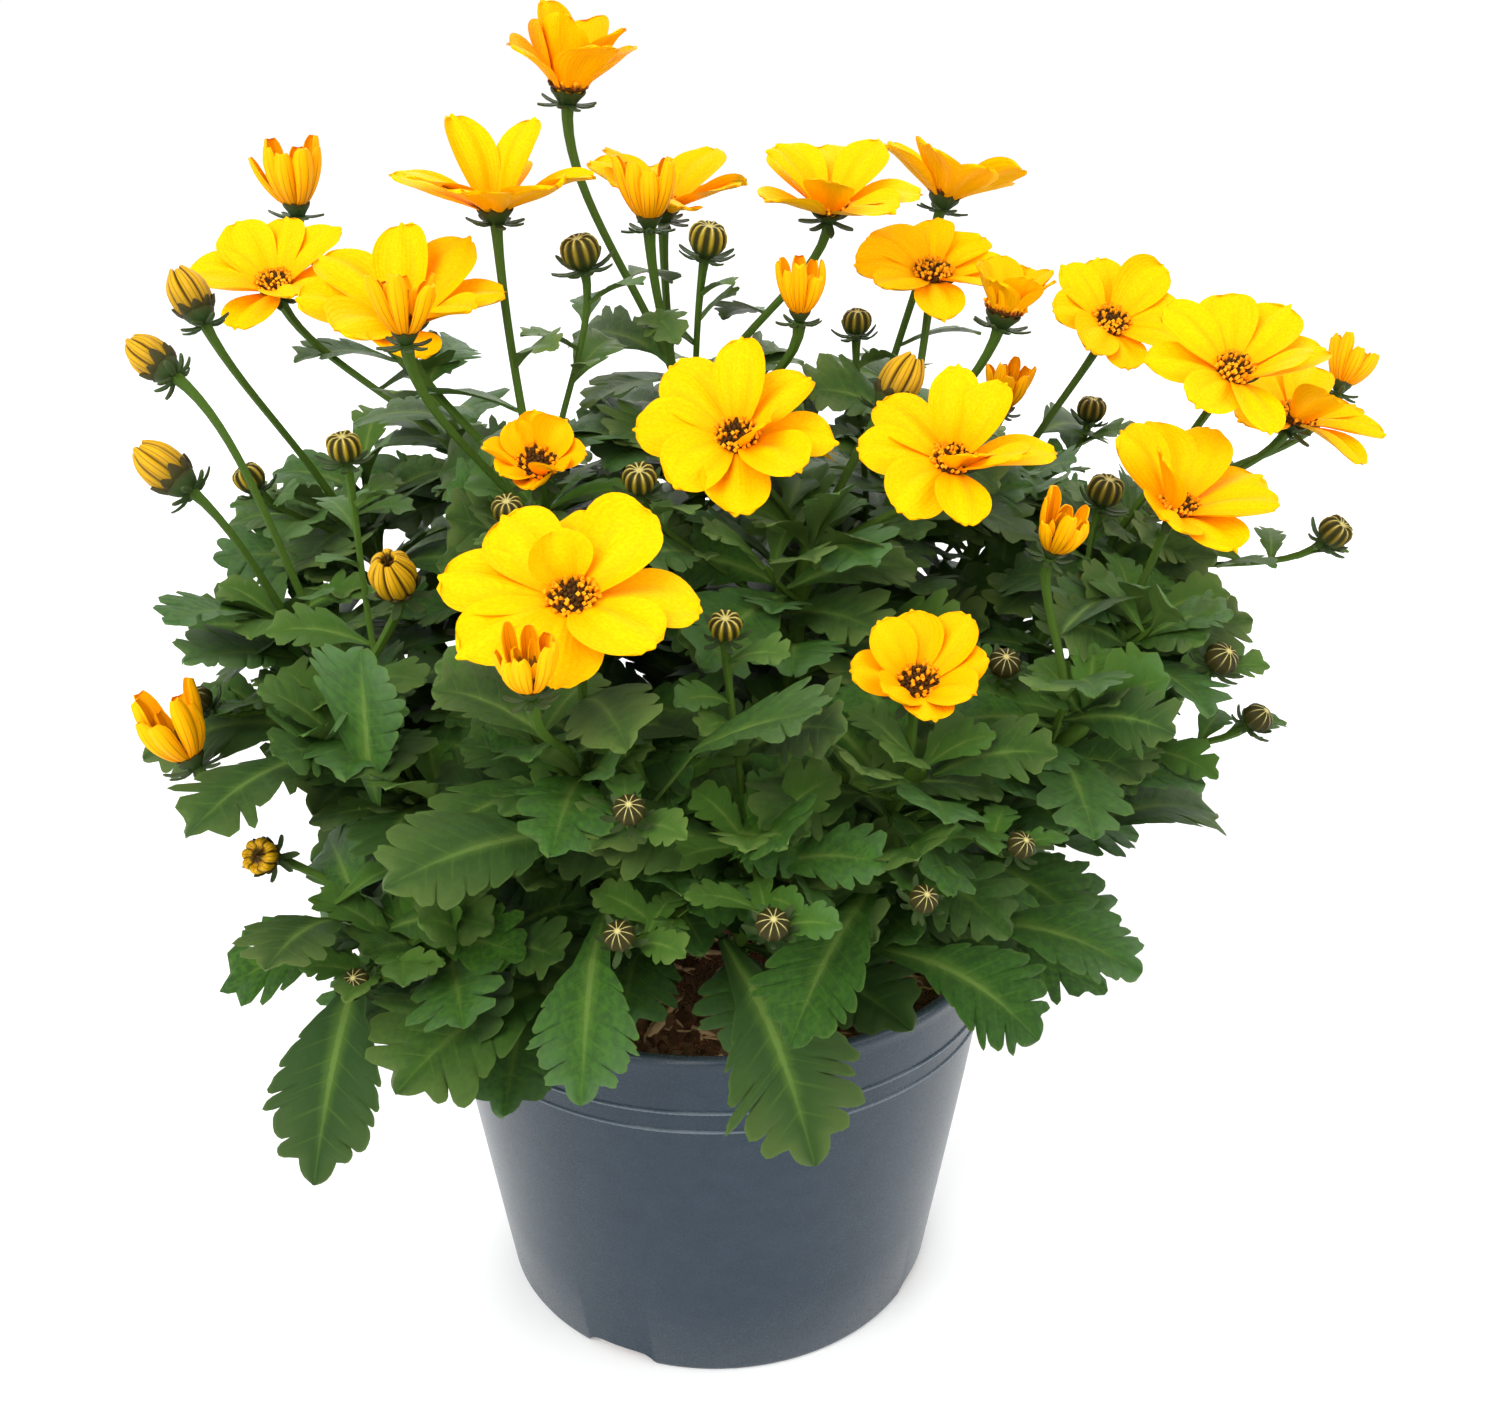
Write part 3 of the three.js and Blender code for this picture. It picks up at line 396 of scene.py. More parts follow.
STRIP_FRAYS = 4
LIP_STRIP_PLACE, LIP_STRIP_TURN, LIP_STRIP_LENGTH = (45, -36), 0.9, 15
SOIL_DARK = (0.15, 0.05, 0.022)
SOIL_RED = (1.0, 0.46, 0.22)
BARK_TAN = (0.86, 0.5, 0.27)
FIBRE_TAN = (0.95, 0.64, 0.38)


def draw(piece, trait):
    """A repeatable draw between -1 and 1 for one piece. Each of its traits has its own number."""
    wave = math.sin(piece * 12.9898 + trait * 78.233) * 43758.5453
    return 2 * (wave - math.floor(wave)) - 1


def draw_share(piece, trait):
    """The same draw as a share between 0 and 1."""
    return (draw(piece, trait) + 1) / 2


def unit(vector):
    return vector / np.linalg.norm(vector)


def soil_height(x, y):
    """Height of the soil's surface: low mounds with crumbs on them, sunk a little at the pot's wall."""
    place = Vector((x, y, 0))
    mounds = sum(noise.noise(place / span) * height for span, height in MOUNDS)
    grains = sum(abs(noise.noise(place / span)) * height for span, height in GRAINS)
    sink = EDGE_SINK * (math.hypot(x, y) / SOIL_RADIUS) ** 6
    return SOIL_TOP - SOIL_SETTLED + mounds * MOUND_SHARE + grains - sink


coir = Finish("coir_mulch", SOIL_RED, 0.92, 0.25)
lumps = coir.noise(360.0, 6.0, 0.75)
specks = coir.amount("TexVoronoi", {"Scale": 480.0}, "Distance")
crumb_pale, crumb_dark, _ = coir.marks("tone")
coir.colour = coir.blend(lumps.fade(0.42, 0.6), SOIL_DARK, SOIL_RED)
coir.coat(specks.fade(0.02, 0.26, 0.75, 0.0), BARK_TAN)
coir.coat(crumb_pale * 0.8, BARK_TAN)
coir.coat(crumb_dark * 0.8, SOIL_DARK)
coir.bump(lumps, 1.0, 2)
coir_mulch = coir.close()

soil_rings = turned_rings(SOIL_BODY, SOIL_STEPS)
turn = ring_turns(SOIL_STEPS)
for i in range(SOIL_RINGS):
    radius = SOIL_RADIUS * (1 - i / SOIL_RINGS)
    x, y = radius * np.cos(turn), radius * np.sin(turn)
    soil_rings.append(np.column_stack([x, y, [soil_height(*place) for place in zip(x, y)]]))
soil_skins = Skins()
soil_skins.add(soil_rings)
soil = soil_skins.piece("soil_fill", [coir_mulch])
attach(soil, "root")
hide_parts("soil")


def lump_rings(middle, size, number, flat=1.0):
    """A small uneven lump, rounder or flatter, turned its own way."""
    turn = ring_turns(LUMP_SIDES) + number
    lean = unit(np.array([draw(number, 1) * 0.6, draw(number, 2) * 0.6, 1.0]))
    side = unit(np.cross(lean, [1, 0.2, 0]))
    front = np.cross(lean, side)
    oblong = 1.3 + 0.4 * draw(number, 4)
    rings = []
    for level, share in LUMP_LEVELS:
        radius = size * share * (1 + 0.3 * np.sin(3 * turn + number) * draw(number, 3))
        rings.append(middle + np.outer(radius * np.cos(turn) * oblong, side)
                     + np.outer(radius * np.sin(turn), front) + lean * level * size * flat)
    return rings


def on_soil(number, trait, reach):
    """A place on the soil for one loose bit; the square root spreads the bits evenly."""
    radius = SOIL_RADIUS * reach * math.sqrt(draw_share(number, trait))
    turn = math.pi * draw(number, trait + 1)
    x, y = radius * math.cos(turn), radius * math.sin(turn)
    return np.array([x, y, soil_height(x, y)])


def drawn_in(x, y, reach):
    """A place on the soil, moved inwards where it lies beyond a radius."""
    shrink = min(1, reach / math.hypot(x, y))
    return x * shrink, y * shrink


crumb_skins = Skins()
for i in range(CRUMBS):
    size = CRUMB_SMALLEST + CRUMB_SPREAD * draw_share(i, 11) + CRUMB_LUMP * max(0, draw(i, 12)) ** 4
    place = on_soil(i, 13, LOOSE_REACH)
    if i < FRONT_CRUMBS:
        x, y = FRONT_BREADTH * SOIL_RADIUS * draw(i, 15), FRONT_DEPTH * abs(draw(i, 16)) - SOIL_RADIUS
        x, y = drawn_in(x, y, LOOSE_REACH * SOIL_RADIUS)
        place = np.array([x, y, soil_height(x, y)])
    paleness = draw(i, 17)
    tone = (max(0, paleness) ** 2, max(0, -paleness), 0)
    crumb_skins.add(lump_rings(place + [0, 0, size * 0.25], size, i), tone=tone)
for i in range(CHIPS):
    size = CHIP_SIZE + CHIP_SPREAD * draw(i, 21)
    chip = lump_rings(on_soil(i, 23, 0.93) + [0, 0, 0.5], size, i + 4000, CHIP_FLATNESS)
    crumb_skins.add(chip, tone=(abs(draw(i, 25)), 0, 0))
crumbs = crumb_skins.piece("soil_crumbs", [coir_mulch])
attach(crumbs, "root")


def steady_axes(directions, hint):
    """Two axes across a bend at each of its points, carried along it without twisting."""
    side = unit(np.cross(directions[0], hint))
    axes = []
    for direction in directions:
        side = unit(side - direction * side.dot(direction))
        axes.append((side, np.cross(side, direction)))
    return axes


def bar_rings(points, radii, sides, flute=0.0, flutes=4):
    """Rings of a round or lightly fluted bar through points, with a radius at each."""
    points = np.asarray(points, float)
    directions = [unit(step) for step in np.gradient(points, axis=0)]
    hint = np.array([0.1, 1, 0.05]) if abs(directions[0][1]) < 0.9 else np.array([1, 0, 0.1])
    turn = ring_turns(sides)
    shape = 1 + flute * np.cos(flutes * turn)
    rings = []
    for point, (side, upper), radius in zip(points, steady_axes(directions, hint), radii):
        rings.append(point + np.outer(radius * shape * np.cos(turn), side)
                     + np.outer(radius * shape * np.sin(turn), upper))
    return rings


fibre = Finish("coir_fibre", FIBRE_TAN, 0.85, 0.3)
fibre.colour = fibre.blend(fibre.noise(300.0, 3.0), BARK_TAN, FIBRE_TAN)
fibre_skins = Skins()
for i in range(FIBRES):
    start = on_soil(i, 31, 0.9)
    heading = math.pi * draw(i, 33)
    length = FIBRE_LENGTH + FIBRE_SPREAD * draw(i, 34)
    bow = FIBRE_BOW * draw(i, 35)
    points = []
    for t in np.linspace(0, 1, len(FIBRE_SWELL)):
        along, aside = (t - 0.5) * length, bow * math.sin(math.pi * t)
        x = start[0] + along * math.cos(heading) - aside * math.sin(heading)
        y = start[1] + along * math.sin(heading) + aside * math.cos(heading)
        x, y = drawn_in(x, y, SOIL_RADIUS - 1.5)
        points.append((x, y, soil_height(x, y) + 0.35 + 1.1 * t * (1 - t) * abs(draw(i, 36))))
    width = 0.16 + 0.14 * abs(draw(i, 37))
    fibre_skins.add(bar_rings(points, width * FIBRE_SWELL, 4))


def bark_strip(skins, i):
    """A torn strip of bark that lies on the soil, tapered both ways, with frayed threads at one end."""
    heading, length = math.pi * draw(i, 43), STRIP_LENGTH + STRIP_SPREAD * draw(i, 44)
    middle = on_soil(i, 41, 0.8)[:2]
    if i == 0:
        heading, length, middle = LIP_STRIP_TURN, LIP_STRIP_LENGTH, np.array(LIP_STRIP_PLACE)
    way = np.array([math.cos(heading), math.sin(heading)])
    width = 0.9 + 0.5 * abs(draw(i, 45))
    lift = np.array([0, 0, STRIP_HALF_THICKNESS])
    rings = []
    for t in np.linspace(-0.5, 0.5, 7):
        x, y = drawn_in(*(middle + way * length * t), SOIL_RADIUS - 1.8)
        point = np.array([x, y, soil_height(x, y) + 0.7 + 1.2 * abs(draw(i, 46)) * (0.5 + t)])
        torn = 1 + 0.3 * draw(i, 50 + round(6 * t))
        side = np.array([-way[1], way[0], 0]) * width * (1 - 0.9 * abs(t)) * torn
        rings.append([point + side, point + side * 0.5 + lift, point - side * 0.5 + lift, point - side,
                      point - side * 0.4 - lift * 0.6, point + side * 0.4 - lift * 0.6])
    skins.add(rings)
    for k in range(STRIP_FRAYS):
        thread = i * STRIP_FRAYS + k
        spread = heading + 0.5 * draw(thread, 47)
        fray = np.array([math.cos(spread), math.sin(spread), 0.1 * draw(thread, 48)])
        ends = [point + fray * reach for reach in (-1.5, 1.0, 3.4 + draw(thread, 49))]
        if max(math.hypot(*end[:2]) for end in ends) < SOIL_RADIUS - 0.8:
            skins.add(bar_rings(ends, [0.26, 0.22, 0.1], 4))


for i in range(BARK_STRIPS):
    bark_strip(fibre_skins, i)
fibres = fibre_skins.piece("soil_fibres", [fibre.close()])
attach(fibres, "root")


# Leafy stems, laid out
# Eighteen stems rise from the soil and lean outwards. Each carries its heads on stalks that leave
# it along its own line, and its leaves in pairs. This part only settles where all of them are.
STEM_HOLE_DEPTH = 13
UP = np.array([0.0, 0.0, 1.0])
STEMS = [  # hole in the soil (x, y), end of the leafy part (x, y, z), pairs of leaves
    ((-8, -19), (-24, -60, 148), 2), ((4, -22), (6, -72, 140), 2), ((16, -18), (38, -60, 150), 2),
    ((26, -10), (74, -38, 150), 2), ((31, 1), (92, -6, 160), 3), ((29, 12), (98, 24, 172), 3),
    ((21, 21), (74, 54, 176), 3), ((10, 27), (40, 76, 176), 3), ((-3, 29), (-8, 84, 172), 3),
    ((-16, 24), (-60, 60, 182), 3), ((-26, 14), (-84, 20, 178), 3), ((-30, 2), (-90, -14, 165), 3),
    ((-27, -9), (-72, -42, 148), 2), ((-19, -20), (-58, -68, 118), 1), ((-12, 2), (-36, -6, 186), 2),
    ((9, -6), (20, -12, 180), 2), ((-2, 14), (-4, 26, 198), 3), ((14, 8), (44, 26, 188), 3),
]
# Heads: stem, how far up it the stalk leaves, seat of the head, facing as turn and rise in degrees,
# then reach and cup angle of an open head, or scale of any other.
BLOOMS = [
    (17, 0.9, (-30, 32, 266), (-60, 76), 21, 48), (10, 0.85, (-102, 55, 224), (-100, 60), 20, 22),
    (15, 0.9, (-63, 5, 221), (-80, 66), 22, 26), (15, 0.96, (-44, 12, 243), (-90, 80), 22, 24),
    (9, 0.9, (-11, 60, 241), (-80, 76), 21, 24), (17, 0.96, (26, 35, 242), (-95, 62), 21, 22),
    (8, 0.9, (56, 68, 243), (20, 74), 20, 32), (18, 0.95, (51, 45, 227), (-90, 62), 19, 12),
    (18, 0.9, (61, 10, 222), (-30, 76), 14, 58), (7, 0.92, (93, 46, 216), (-80, 50), 18, 24),
    (6, 0.85, (111, 10, 210), (-80, 50), 20, 16), (6, 0.92, (134, 32, 196), (-60, 62), 20, 18),
    (5, 0.9, (97, -5, 184), (-72, 62), 21, 30), (16, 0.95, (5, -15, 201), (-93, 52), 20, 12),
    (16, 0.88, (48, -15, 196), (-88, 56), 20, 12), (1, 0.9, (-24, -65, 183), (-95, 54), 22, 10),
    (15, 0.86, (-34, -22, 197), (-90, 50), 12, 44), (3, 0.9, (37, -55, 163), (-88, 54), 15, 38),
    (8, 0.7, (30, 100, 166), (80, 40), 20, 14), (10, 0.7, (-52, 92, 160), (115, 42), 20, 16),
]
HALF_OPEN = [
    (10, 0.97, (-103, 84, 241), (-90, 84), 1.1), (15, 0.8, (-57, -25, 223), (-85, 80), 0.85),
    (17, 0.8, (-13, 22, 241), (-90, 84), 0.9), (6, 0.97, (150, 46, 202), (40, 66), 0.8),
    (1, 0.97, (-29, -90, 176), (-92, 76), 0.7), (13, 0.92, (-102, -40, 144), (180, 70), 0.95),
    (4, 0.9, (67, -25, 181), (-60, 66), 0.75), (17, 0.86, (18, 0, 224), (-90, 80), 0.72),
    (18, 0.8, (69, 44, 198), (-60, 72), 0.72), (9, 0.75, (-12, 104, 176), (100, 62), 0.9),
]
BUDS = [
    (13, 0.96, (-58, -45, 180), (-90, 46), 0.92), (12, 0.95, (-103, -20, 194), (170, 40), 0.95),
    (16, 0.8, (36, 0, 206), (20, 56), 0.95), (14, 0.9, (-84, -56, 131), (-110, 30), 0.75),
    (12, 0.84, (-108, -6, 214), (160, 34), 0.85), (11, 0.95, (-105, 8, 223), (150, 60), 0.9),
]
SMALL_BUDS = [
    (13, 0.75, (-70, -26, 201), (-90, 70), 1), (16, 0.7, (-14, -27, 195), (-90, 60), 1),
    (15, 0.7, (-38, -38, 192), (-90, 60), 0.9), (17, 0.75, (-1, 12, 236), (-60, 70), 1.2),
    (15, 0.92, (-26, 6, 234), (-120, 70), 1.2), (18, 0.7, (33, 36, 217), (-90, 76), 1),
    (7, 0.8, (95, 64, 192), (-60, 80), 1.1), (5, 0.75, (86, 12, 183), (-60, 70), 1.2),
    (6, 0.78, (136, 8, 175), (-50, 50), 1.1), (5, 0.6, (103, -24, 157), (-60, 50), 1.1),
    (4, 0.7, (112, -24, 144), (-40, 50), 1), (4, 0.6, (57, -34, 160), (-90, 50), 1),
    (2, 0.85, (2, -60, 176), (-90, 60), 0.9), (1, 0.7, (-14, -90, 155), (-90, 50), 0.85),
    (2, 0.7, (-16, -92, 133), (-100, 50), 0.85), (2, 0.92, (9, -96, 137), (-85, 50), 0.9),
    (3, 0.75, (35, -86, 136), (-75, 50), 0.8), (3, 0.82, (53, -76, 141), (-60, 50), 0.8),
    (14, 0.95, (-63, -82, 119), (-100, 50), 0.75), (12, 0.7, (-104, -24, 150), (-140, 50), 0.95),
    (11, 0.85, (-97, 4, 189), (-150, 60), 1), (10, 0.8, (-40, 84, 184), (110, 60), 1.1),
    (8, 0.8, (52, 92, 182), (70, 60), 1.1),
]
# Large leaves: stem, how far up it, base of the blade, tip, width, arch.
LARGE_LEAVES = [
    (1, 0.72, (-26, -72, 143), (-54, -94, 144), 22, 5), (2, 0.6, (-6, -74, 158), (17, -86, 171), 20, 3),
    (13, 0.8, (-64, -56, 146), (-62, -62, 174), 20, 2), (14, 0.98, (-66, -75, 114), (-72, -92, 84), 19, 6),
    (14, 0.6, (-32, -66, 108), (-56, -92, 103), 26, 8), (2, 0.35, (5, -76, 116), (17, -94, 88), 23, 8),
    (3, 0.4, (36, -72, 117), (57, -86, 108), 20, 6), (4, 0.4, (52, -58, 116), (78, -74, 114), 20, 6),
    (3, 0.55, (26, -76, 131), (12, -96, 114), 19, 6), (5, 0.45, (78, -28, 122), (106, -26, 124), 24, 7),
    (12, 0.5, (-82, -18, 142), (-118, -24, 138), 22, 9), (1, 0.5, (-22, -76, 122), (-24, -92, 100), 17, 6),
]
OUTWARD_LEAF = 2
OUTWARD_TILT = np.array([-0.32, -0.94, 0.0])
STEM_BEND, STEM_BEND_UP = 0.42, 0.6
STALK_UPWARDS = 0.7
STALK_START, STALK_TURN, STALK_UNDER_HEAD = 0.35, 0.3, 1.2
# The numbers of the other heads and of the large leaves follow on these; those of open heads on 0.
HALF_OPEN_AFTER, BUDS_AFTER, SMALL_BUDS_AFTER, LARGE_LEAVES_AFTER = 30, 50, 70, 499
# Room for a head: an open one as a share of its reach, any other as a radius at full scale.
BLOOM_ROOM = 0.8
HEAD_ROOM = {"half_open": 8, "bud": 6, "small_bud": 4}
LEAF_LENGTH = 36
LEAF_WIDTH = 21
LEAF_HANG = 8
LEAF_ARCH = 5
PETIOLE = 9
# How much the upper sides look inwards, and towards the light.
LOOKS_INWARDS = 0.2
LIGHT_SIDE = np.array([0.0, -0.35, 0.0])
FIRST_TILT = 0.25
LEAVES_FROM, LEAVES_TO = 0.3, 1
SIZE_LOW, SIZE_HIGH = 1.05, 0.8
RISE_LOW, RISE_HIGH = -6, 32
WIDE_PAIR, CLOSE_PAIR = 62, 38
LEAF_CLEARANCE, STEM_CLEARANCE, OWN_CLEARANCE, BLOOM_CLEARANCE = 5.4, 5, 3, 3
LIP_ASIDE, LIP_ABOVE = 3, 4
CLEARANCE_STEP = 4
# Where along its stalk and blade a leaf is tested, and how broad it counts there.
STALK_TESTS, BLADE_TESTS = (0.45, 0.6, 0.75, 0.9), (0.06, 0.3, 0.54, 0.78, 0.98)
FREE_STALK = 5
NARROW_HALF, BROAD_HALF = 0.12, 0.44
# The turns aside and the lifts that a leaf tries, in this order, until it is clear of the others.
TURNS = (0, 18, -18, 36, -36, 54, -54, 75, -75)
RISES = (0, 16, -16, 30)


def towards(turn, rise):
    """A unit vector from a turn about Z (0 is +X) and a rise above the horizontal, in degrees."""
    turn, rise = math.radians(turn), math.radians(rise)
    return np.array([math.cos(rise) * math.cos(turn), math.cos(rise) * math.sin(turn), math.sin(rise)])


def lerp(a, b, t):
    return a + (b - a) * t


def on_curve(guides, t):
    """A point of a smooth curve that is drawn by three or four guide points."""
    guides = [np.asarray(guide, float) for guide in guides]
    while len(guides) > 1:
        guides = [lerp(a, b, t) for a, b in zip(guides, guides[1:])]
    return guides[0]


def curve_way(guides, t):
    steps = [np.asarray(b, float) - np.asarray(a, float) for a, b in zip(guides, guides[1:])]
    return unit(on_curve(steps, t))


def curve_length(guides):
    points = np.array([on_curve(guides, t) for t in np.linspace(0, 1, 201)])
    return np.linalg.norm(np.diff(points, axis=0), axis=1).sum()


stems = []
for i, (hole, end, pairs) in enumerate(STEMS):
    root = np.array([*hole, SOIL_TOP - STEM_HOLE_DEPTH], float)
    top = np.array(end, float)
    bend = lerp(root, top, STEM_BEND)
    bend[2] = lerp(root[2], top[2], STEM_BEND_UP)
    stems.append({"number": i + 1, "pairs": pairs, "curve": [root, bend, top], "heads": [], "leaves": [],
                  "twigs": []})


def lay_head(entry, number, kind):
    """A head's stalk leaves its stem along the stem's line and ends square under the calyx."""
    stem, fork, seat, facing, size = entry[:5]
    head = {"number": number, "kind": kind, "facing": towards(*facing), "seat": np.array(seat, float)}
    head["reach"], head["cup"] = (size, entry[5]) if kind == "bloom" else (0, 0)
    head["scale"] = 1 if kind == "bloom" else size
    curve = stems[stem - 1]["curve"]
    start = on_curve(curve, fork)
    leave = unit(curve_way(curve, fork) + UP * STALK_UPWARDS)
    reach = np.linalg.norm(start - head["seat"])
    head["curve"] = [start, start + leave * reach * STALK_START,
                     head["seat"] - head["facing"] * reach * STALK_TURN,
                     head["seat"] - head["facing"] * STALK_UNDER_HEAD]
    stems[stem - 1]["heads"].append(head)
    return head


def lay_heads(entries, after, kind):
    return [lay_head(entry, after + i + 1, kind) for i, entry in enumerate(entries)]


blooms = lay_heads(BLOOMS, 0, "bloom")
half_open = lay_heads(HALF_OPEN, HALF_OPEN_AFTER, "half_open")
buds = lay_heads(BUDS, BUDS_AFTER, "bud")
small_buds = lay_heads(SMALL_BUDS, SMALL_BUDS_AFTER, "small_bud")
heads = blooms + half_open + buds + small_buds


def head_room(head):
    """Radius of the ball that a head fills, and its middle."""
    bloom = head["kind"] == "bloom"
    size = head["reach"] * BLOOM_ROOM if bloom else HEAD_ROOM[head["kind"]] * head["scale"]
    return size, head["seat"] + head["facing"] * size * 0.5


class Obstacles:
    """Points that leaves keep clear of, with the room that each needs and the stem it belongs to."""

    def __init__(self):
        self.points, self.room, self.stem = [], [], []

    def put(self, points, room, stem):
        for point in points:
            self.points.append(point)
            self.room.append(room)
            self.stem.append(stem)

    def clear_of(self, points, root, stem):
        """True if points keep clear of all that was put. Near its root a leaf may touch its own stem."""
        places, room, owner = np.array(self.points), np.array(self.room), np.array(self.stem)
        own = owner == stem
        near_root = np.linalg.norm(places - root, axis=1) < PETIOLE
        room = np.where(own, np.where(near_root, -1, OWN_CLEARANCE), room)
        gaps = np.linalg.norm(places[:, None] - points[None], axis=2)
        return bool((gaps > room[:, None]).all())


obstacles = Obstacles()
for stem in stems:
    for curve in [stem["curve"], *(head["curve"] for head in stem["heads"])]:
        count = math.ceil(curve_length(curve) / CLEARANCE_STEP)
        obstacles.put([on_curve(curve, k / count) for k in range(count + 1)], STEM_CLEARANCE, stem["number"])
    for head in stem["heads"]:
        size, middle = head_room(head)
        obstacles.put([middle], size + BLOOM_CLEARANCE, 0)


def leaf_spine(leaf):
    return [leaf["base"], lerp(leaf["base"], leaf["tip"], 0.5) + UP * leaf["arch"], leaf["tip"]]


def leaf_axes(leaf, way):
    """Side and upper side of a leaf where it runs a given way; it looks up and a little inwards."""
    along = unit(leaf["tip"] - leaf["base"])
    inwards = unit(np.array([-leaf["base"][0], -leaf["base"][1], 0])) * FIRST_TILT
    side = unit(np.cross(along, UP + leaf.get("tilt", inwards)))
    upper = np.cross(side, along)
    side = side * math.cos(leaf["roll"]) - upper * math.sin(leaf["roll"])
    side = unit(side - way * side.dot(way))
    return side, np.cross(side, way)


def leaf_points(leaf):
    """Points that stand for a leaf when it turns aside from others."""
    spine = leaf_spine(leaf)
    stalk = np.linalg.norm(leaf["root"] - leaf["base"])
    points = [lerp(leaf["root"], leaf["base"], t) for t in STALK_TESTS if t * stalk > FREE_STALK]
    for t in BLADE_TESTS:
        side, _ = leaf_axes(leaf, curve_way(spine, t))
        half = leaf["width"] * (NARROW_HALF if t in (BLADE_TESTS[0], BLADE_TESTS[-1]) else BROAD_HALF)
        points += [on_curve(spine, t) + side * k for k in (-half, 0, half)]
    return np.array(points)


def over_pot(points):
    """True if a leaf would run through the pot's lip or into the soil."""
    flat = np.hypot(points[:, 0], points[:, 1])
    return bool(((flat < RIM_RADIUS + LIP_ASIDE) & (points[:, 2] < POT_HEIGHT + LIP_ABOVE)).any())


def keep_leaf(leaf, stem):
    stem["leaves"].append(leaf)
    obstacles.put(leaf_points(leaf), LEAF_CLEARANCE, stem["number"])


for i, (number, fork, base, tip, width, arch) in enumerate(LARGE_LEAVES):
    stem = stems[number - 1]
    leaf = {"root": on_curve(stem["curve"], fork), "base": np.array(base, float),
            "tip": np.array(tip, float), "width": width, "arch": arch, "roll": 0.2 * draw(i, 3),
            "large": True, "number": LARGE_LEAVES_AFTER + i + 1}
    keep_leaf(leaf, stem)
for stem in stems:
    for i in range(2 * stem["pairs"]):
        fork = lerp(LEAVES_FROM, LEAVES_TO, (i // 2 + 0.3) / stem["pairs"])
        root = on_curve(stem["curve"], fork)
        outwards = math.degrees(math.atan2(root[1], root[0]))
        piece = stem["number"] * 10 + i
        aside = (1 if i % 2 else -1) * (WIDE_PAIR if (i // 2) % 2 else CLOSE_PAIR)
        size = lerp(SIZE_LOW, SIZE_HIGH, fork) * (1 + 0.1 * draw(piece, 1))
        rise = lerp(RISE_LOW, RISE_HIGH, fork) + 10 * draw(piece, 2)
        for lift, turn in ((lift, turn) for lift in RISES for turn in TURNS):
            way = towards(outwards + aside + turn, rise + lift)
            base = root + way * PETIOLE * size
            tip = base + way * LEAF_LENGTH * size - UP * LEAF_HANG * size
            leaf = {"root": root, "base": base, "tip": tip, "width": LEAF_WIDTH * size,
                    "arch": LEAF_ARCH * size, "roll": 0.35 * draw(piece, 3), "large": False,
                    "number": piece}
            points = leaf_points(leaf)
            if not over_pot(points) and obstacles.clear_of(points, root, stem["number"]):
                keep_leaf(leaf, stem)
                break
for stem in stems:
    for leaf in stem["leaves"]:
        leaf["tilt"] = unit(np.array([-leaf["base"][0], -leaf["base"][1], 0])) * LOOKS_INWARDS + LIGHT_SIDE
        if leaf["number"] == LARGE_LEAVES_AFTER + OUTWARD_LEAF + 1:
            leaf["tilt"] = OUTWARD_TILT


# Smaller leaves, laid out
# They fill the bush between the others: spirals up each stem, a tuft of young leaves at its end,
# short side shoots, a skirt over the lip, slim ones on the stalks, and rosettes at small buds.
SPIRAL_TURN = 137.5
SPIRAL_LEAVES = 19
SPIRAL_FROM, SPIRAL_TO = 0.24, 0.99
SPIRAL_SIZES, SPIRAL_RISES = (0.98, 0.62), (-4, 38)
SPIRAL_DROOP = 12
TUFT_LEAVES = 7
TUFT_SIZE, TUFT_RISE = 0.5, 34
STEM_TIP = 0.99
SIDE_SHOOTS = 3
SHOOTS_FROM, SHOOTS_TO = 0.4, 0.95
SHOOT_ASIDE, SHOOT_RISE, SHOOT_LENGTH, SHOOT_SAG = 60, 42, 22, 2.5
SHOOT_LEAVES = 6
SHOOT_BARE = 0.4
SHOOT_SIZES, SHOOT_RISES = (0.74, 0.5), (12, 46)
OLD_SHOOT_LEAVES = 4
LEAFY_STALK = 24
STALK_LEAF_STEP = 9
STALK_LEAVES_MOST = 6
LEAFY_SHARE = 0.5
STALK_SIZES, STALK_RISE = (0.78, 0.42), 20
YOUNG_UNDER = 0.62
ROSETTE_LEAVES = 4
ROSETTE_TOP, ROSETTE_STEP, ROSETTE_SIZE = 0.86, 0.09, 0.36
SKIRT_LEAVES = 26
SKIRT_ROOT, SKIRT_SIZE, SKIRT_DROOP = 0.2, 0.92, 16
SKIRT_OVER_LIP, SKIRT_HEIGHT = 2, 101
FRONT_GAP = (-138, -36)
SOIL_SHOWS = [(-6, -41), (24, -44), (28, -38), (39, -35)]
BACK_FROM, BACK_UNDER = 80, 200
HEAD_SEEN, SOIL_SEEN = 0.9, 0.5
HEAD_GAP = 1.5
LIMIT_LOW = np.array([-121.5, -99.0, 70.0])
LIMIT_HIGH = np.array([150.0, 116.0, 285.0])
SHORT_PETIOLE, SLIM_PETIOLE, ROSETTE_PETIOLE = 5, 4, 3
FILL_BREADTH, YOUNG_BREADTH = 1.06, 0.85
FILL_ARCH = 6.5
# Where the numbers of each kind start, and how many of them each stem, shoot or head takes up.
SPIRAL_NUMBERS, TUFT_NUMBERS, STALK_NUMBERS, SKIRT_NUMBERS = 1000, 2000, 3000, 4000
SHOOT_NUMBERS, ROSETTE_NUMBERS = 5000, 6000
PER_STEM, PER_SHOOT, PER_HEAD = 40, 8, 8


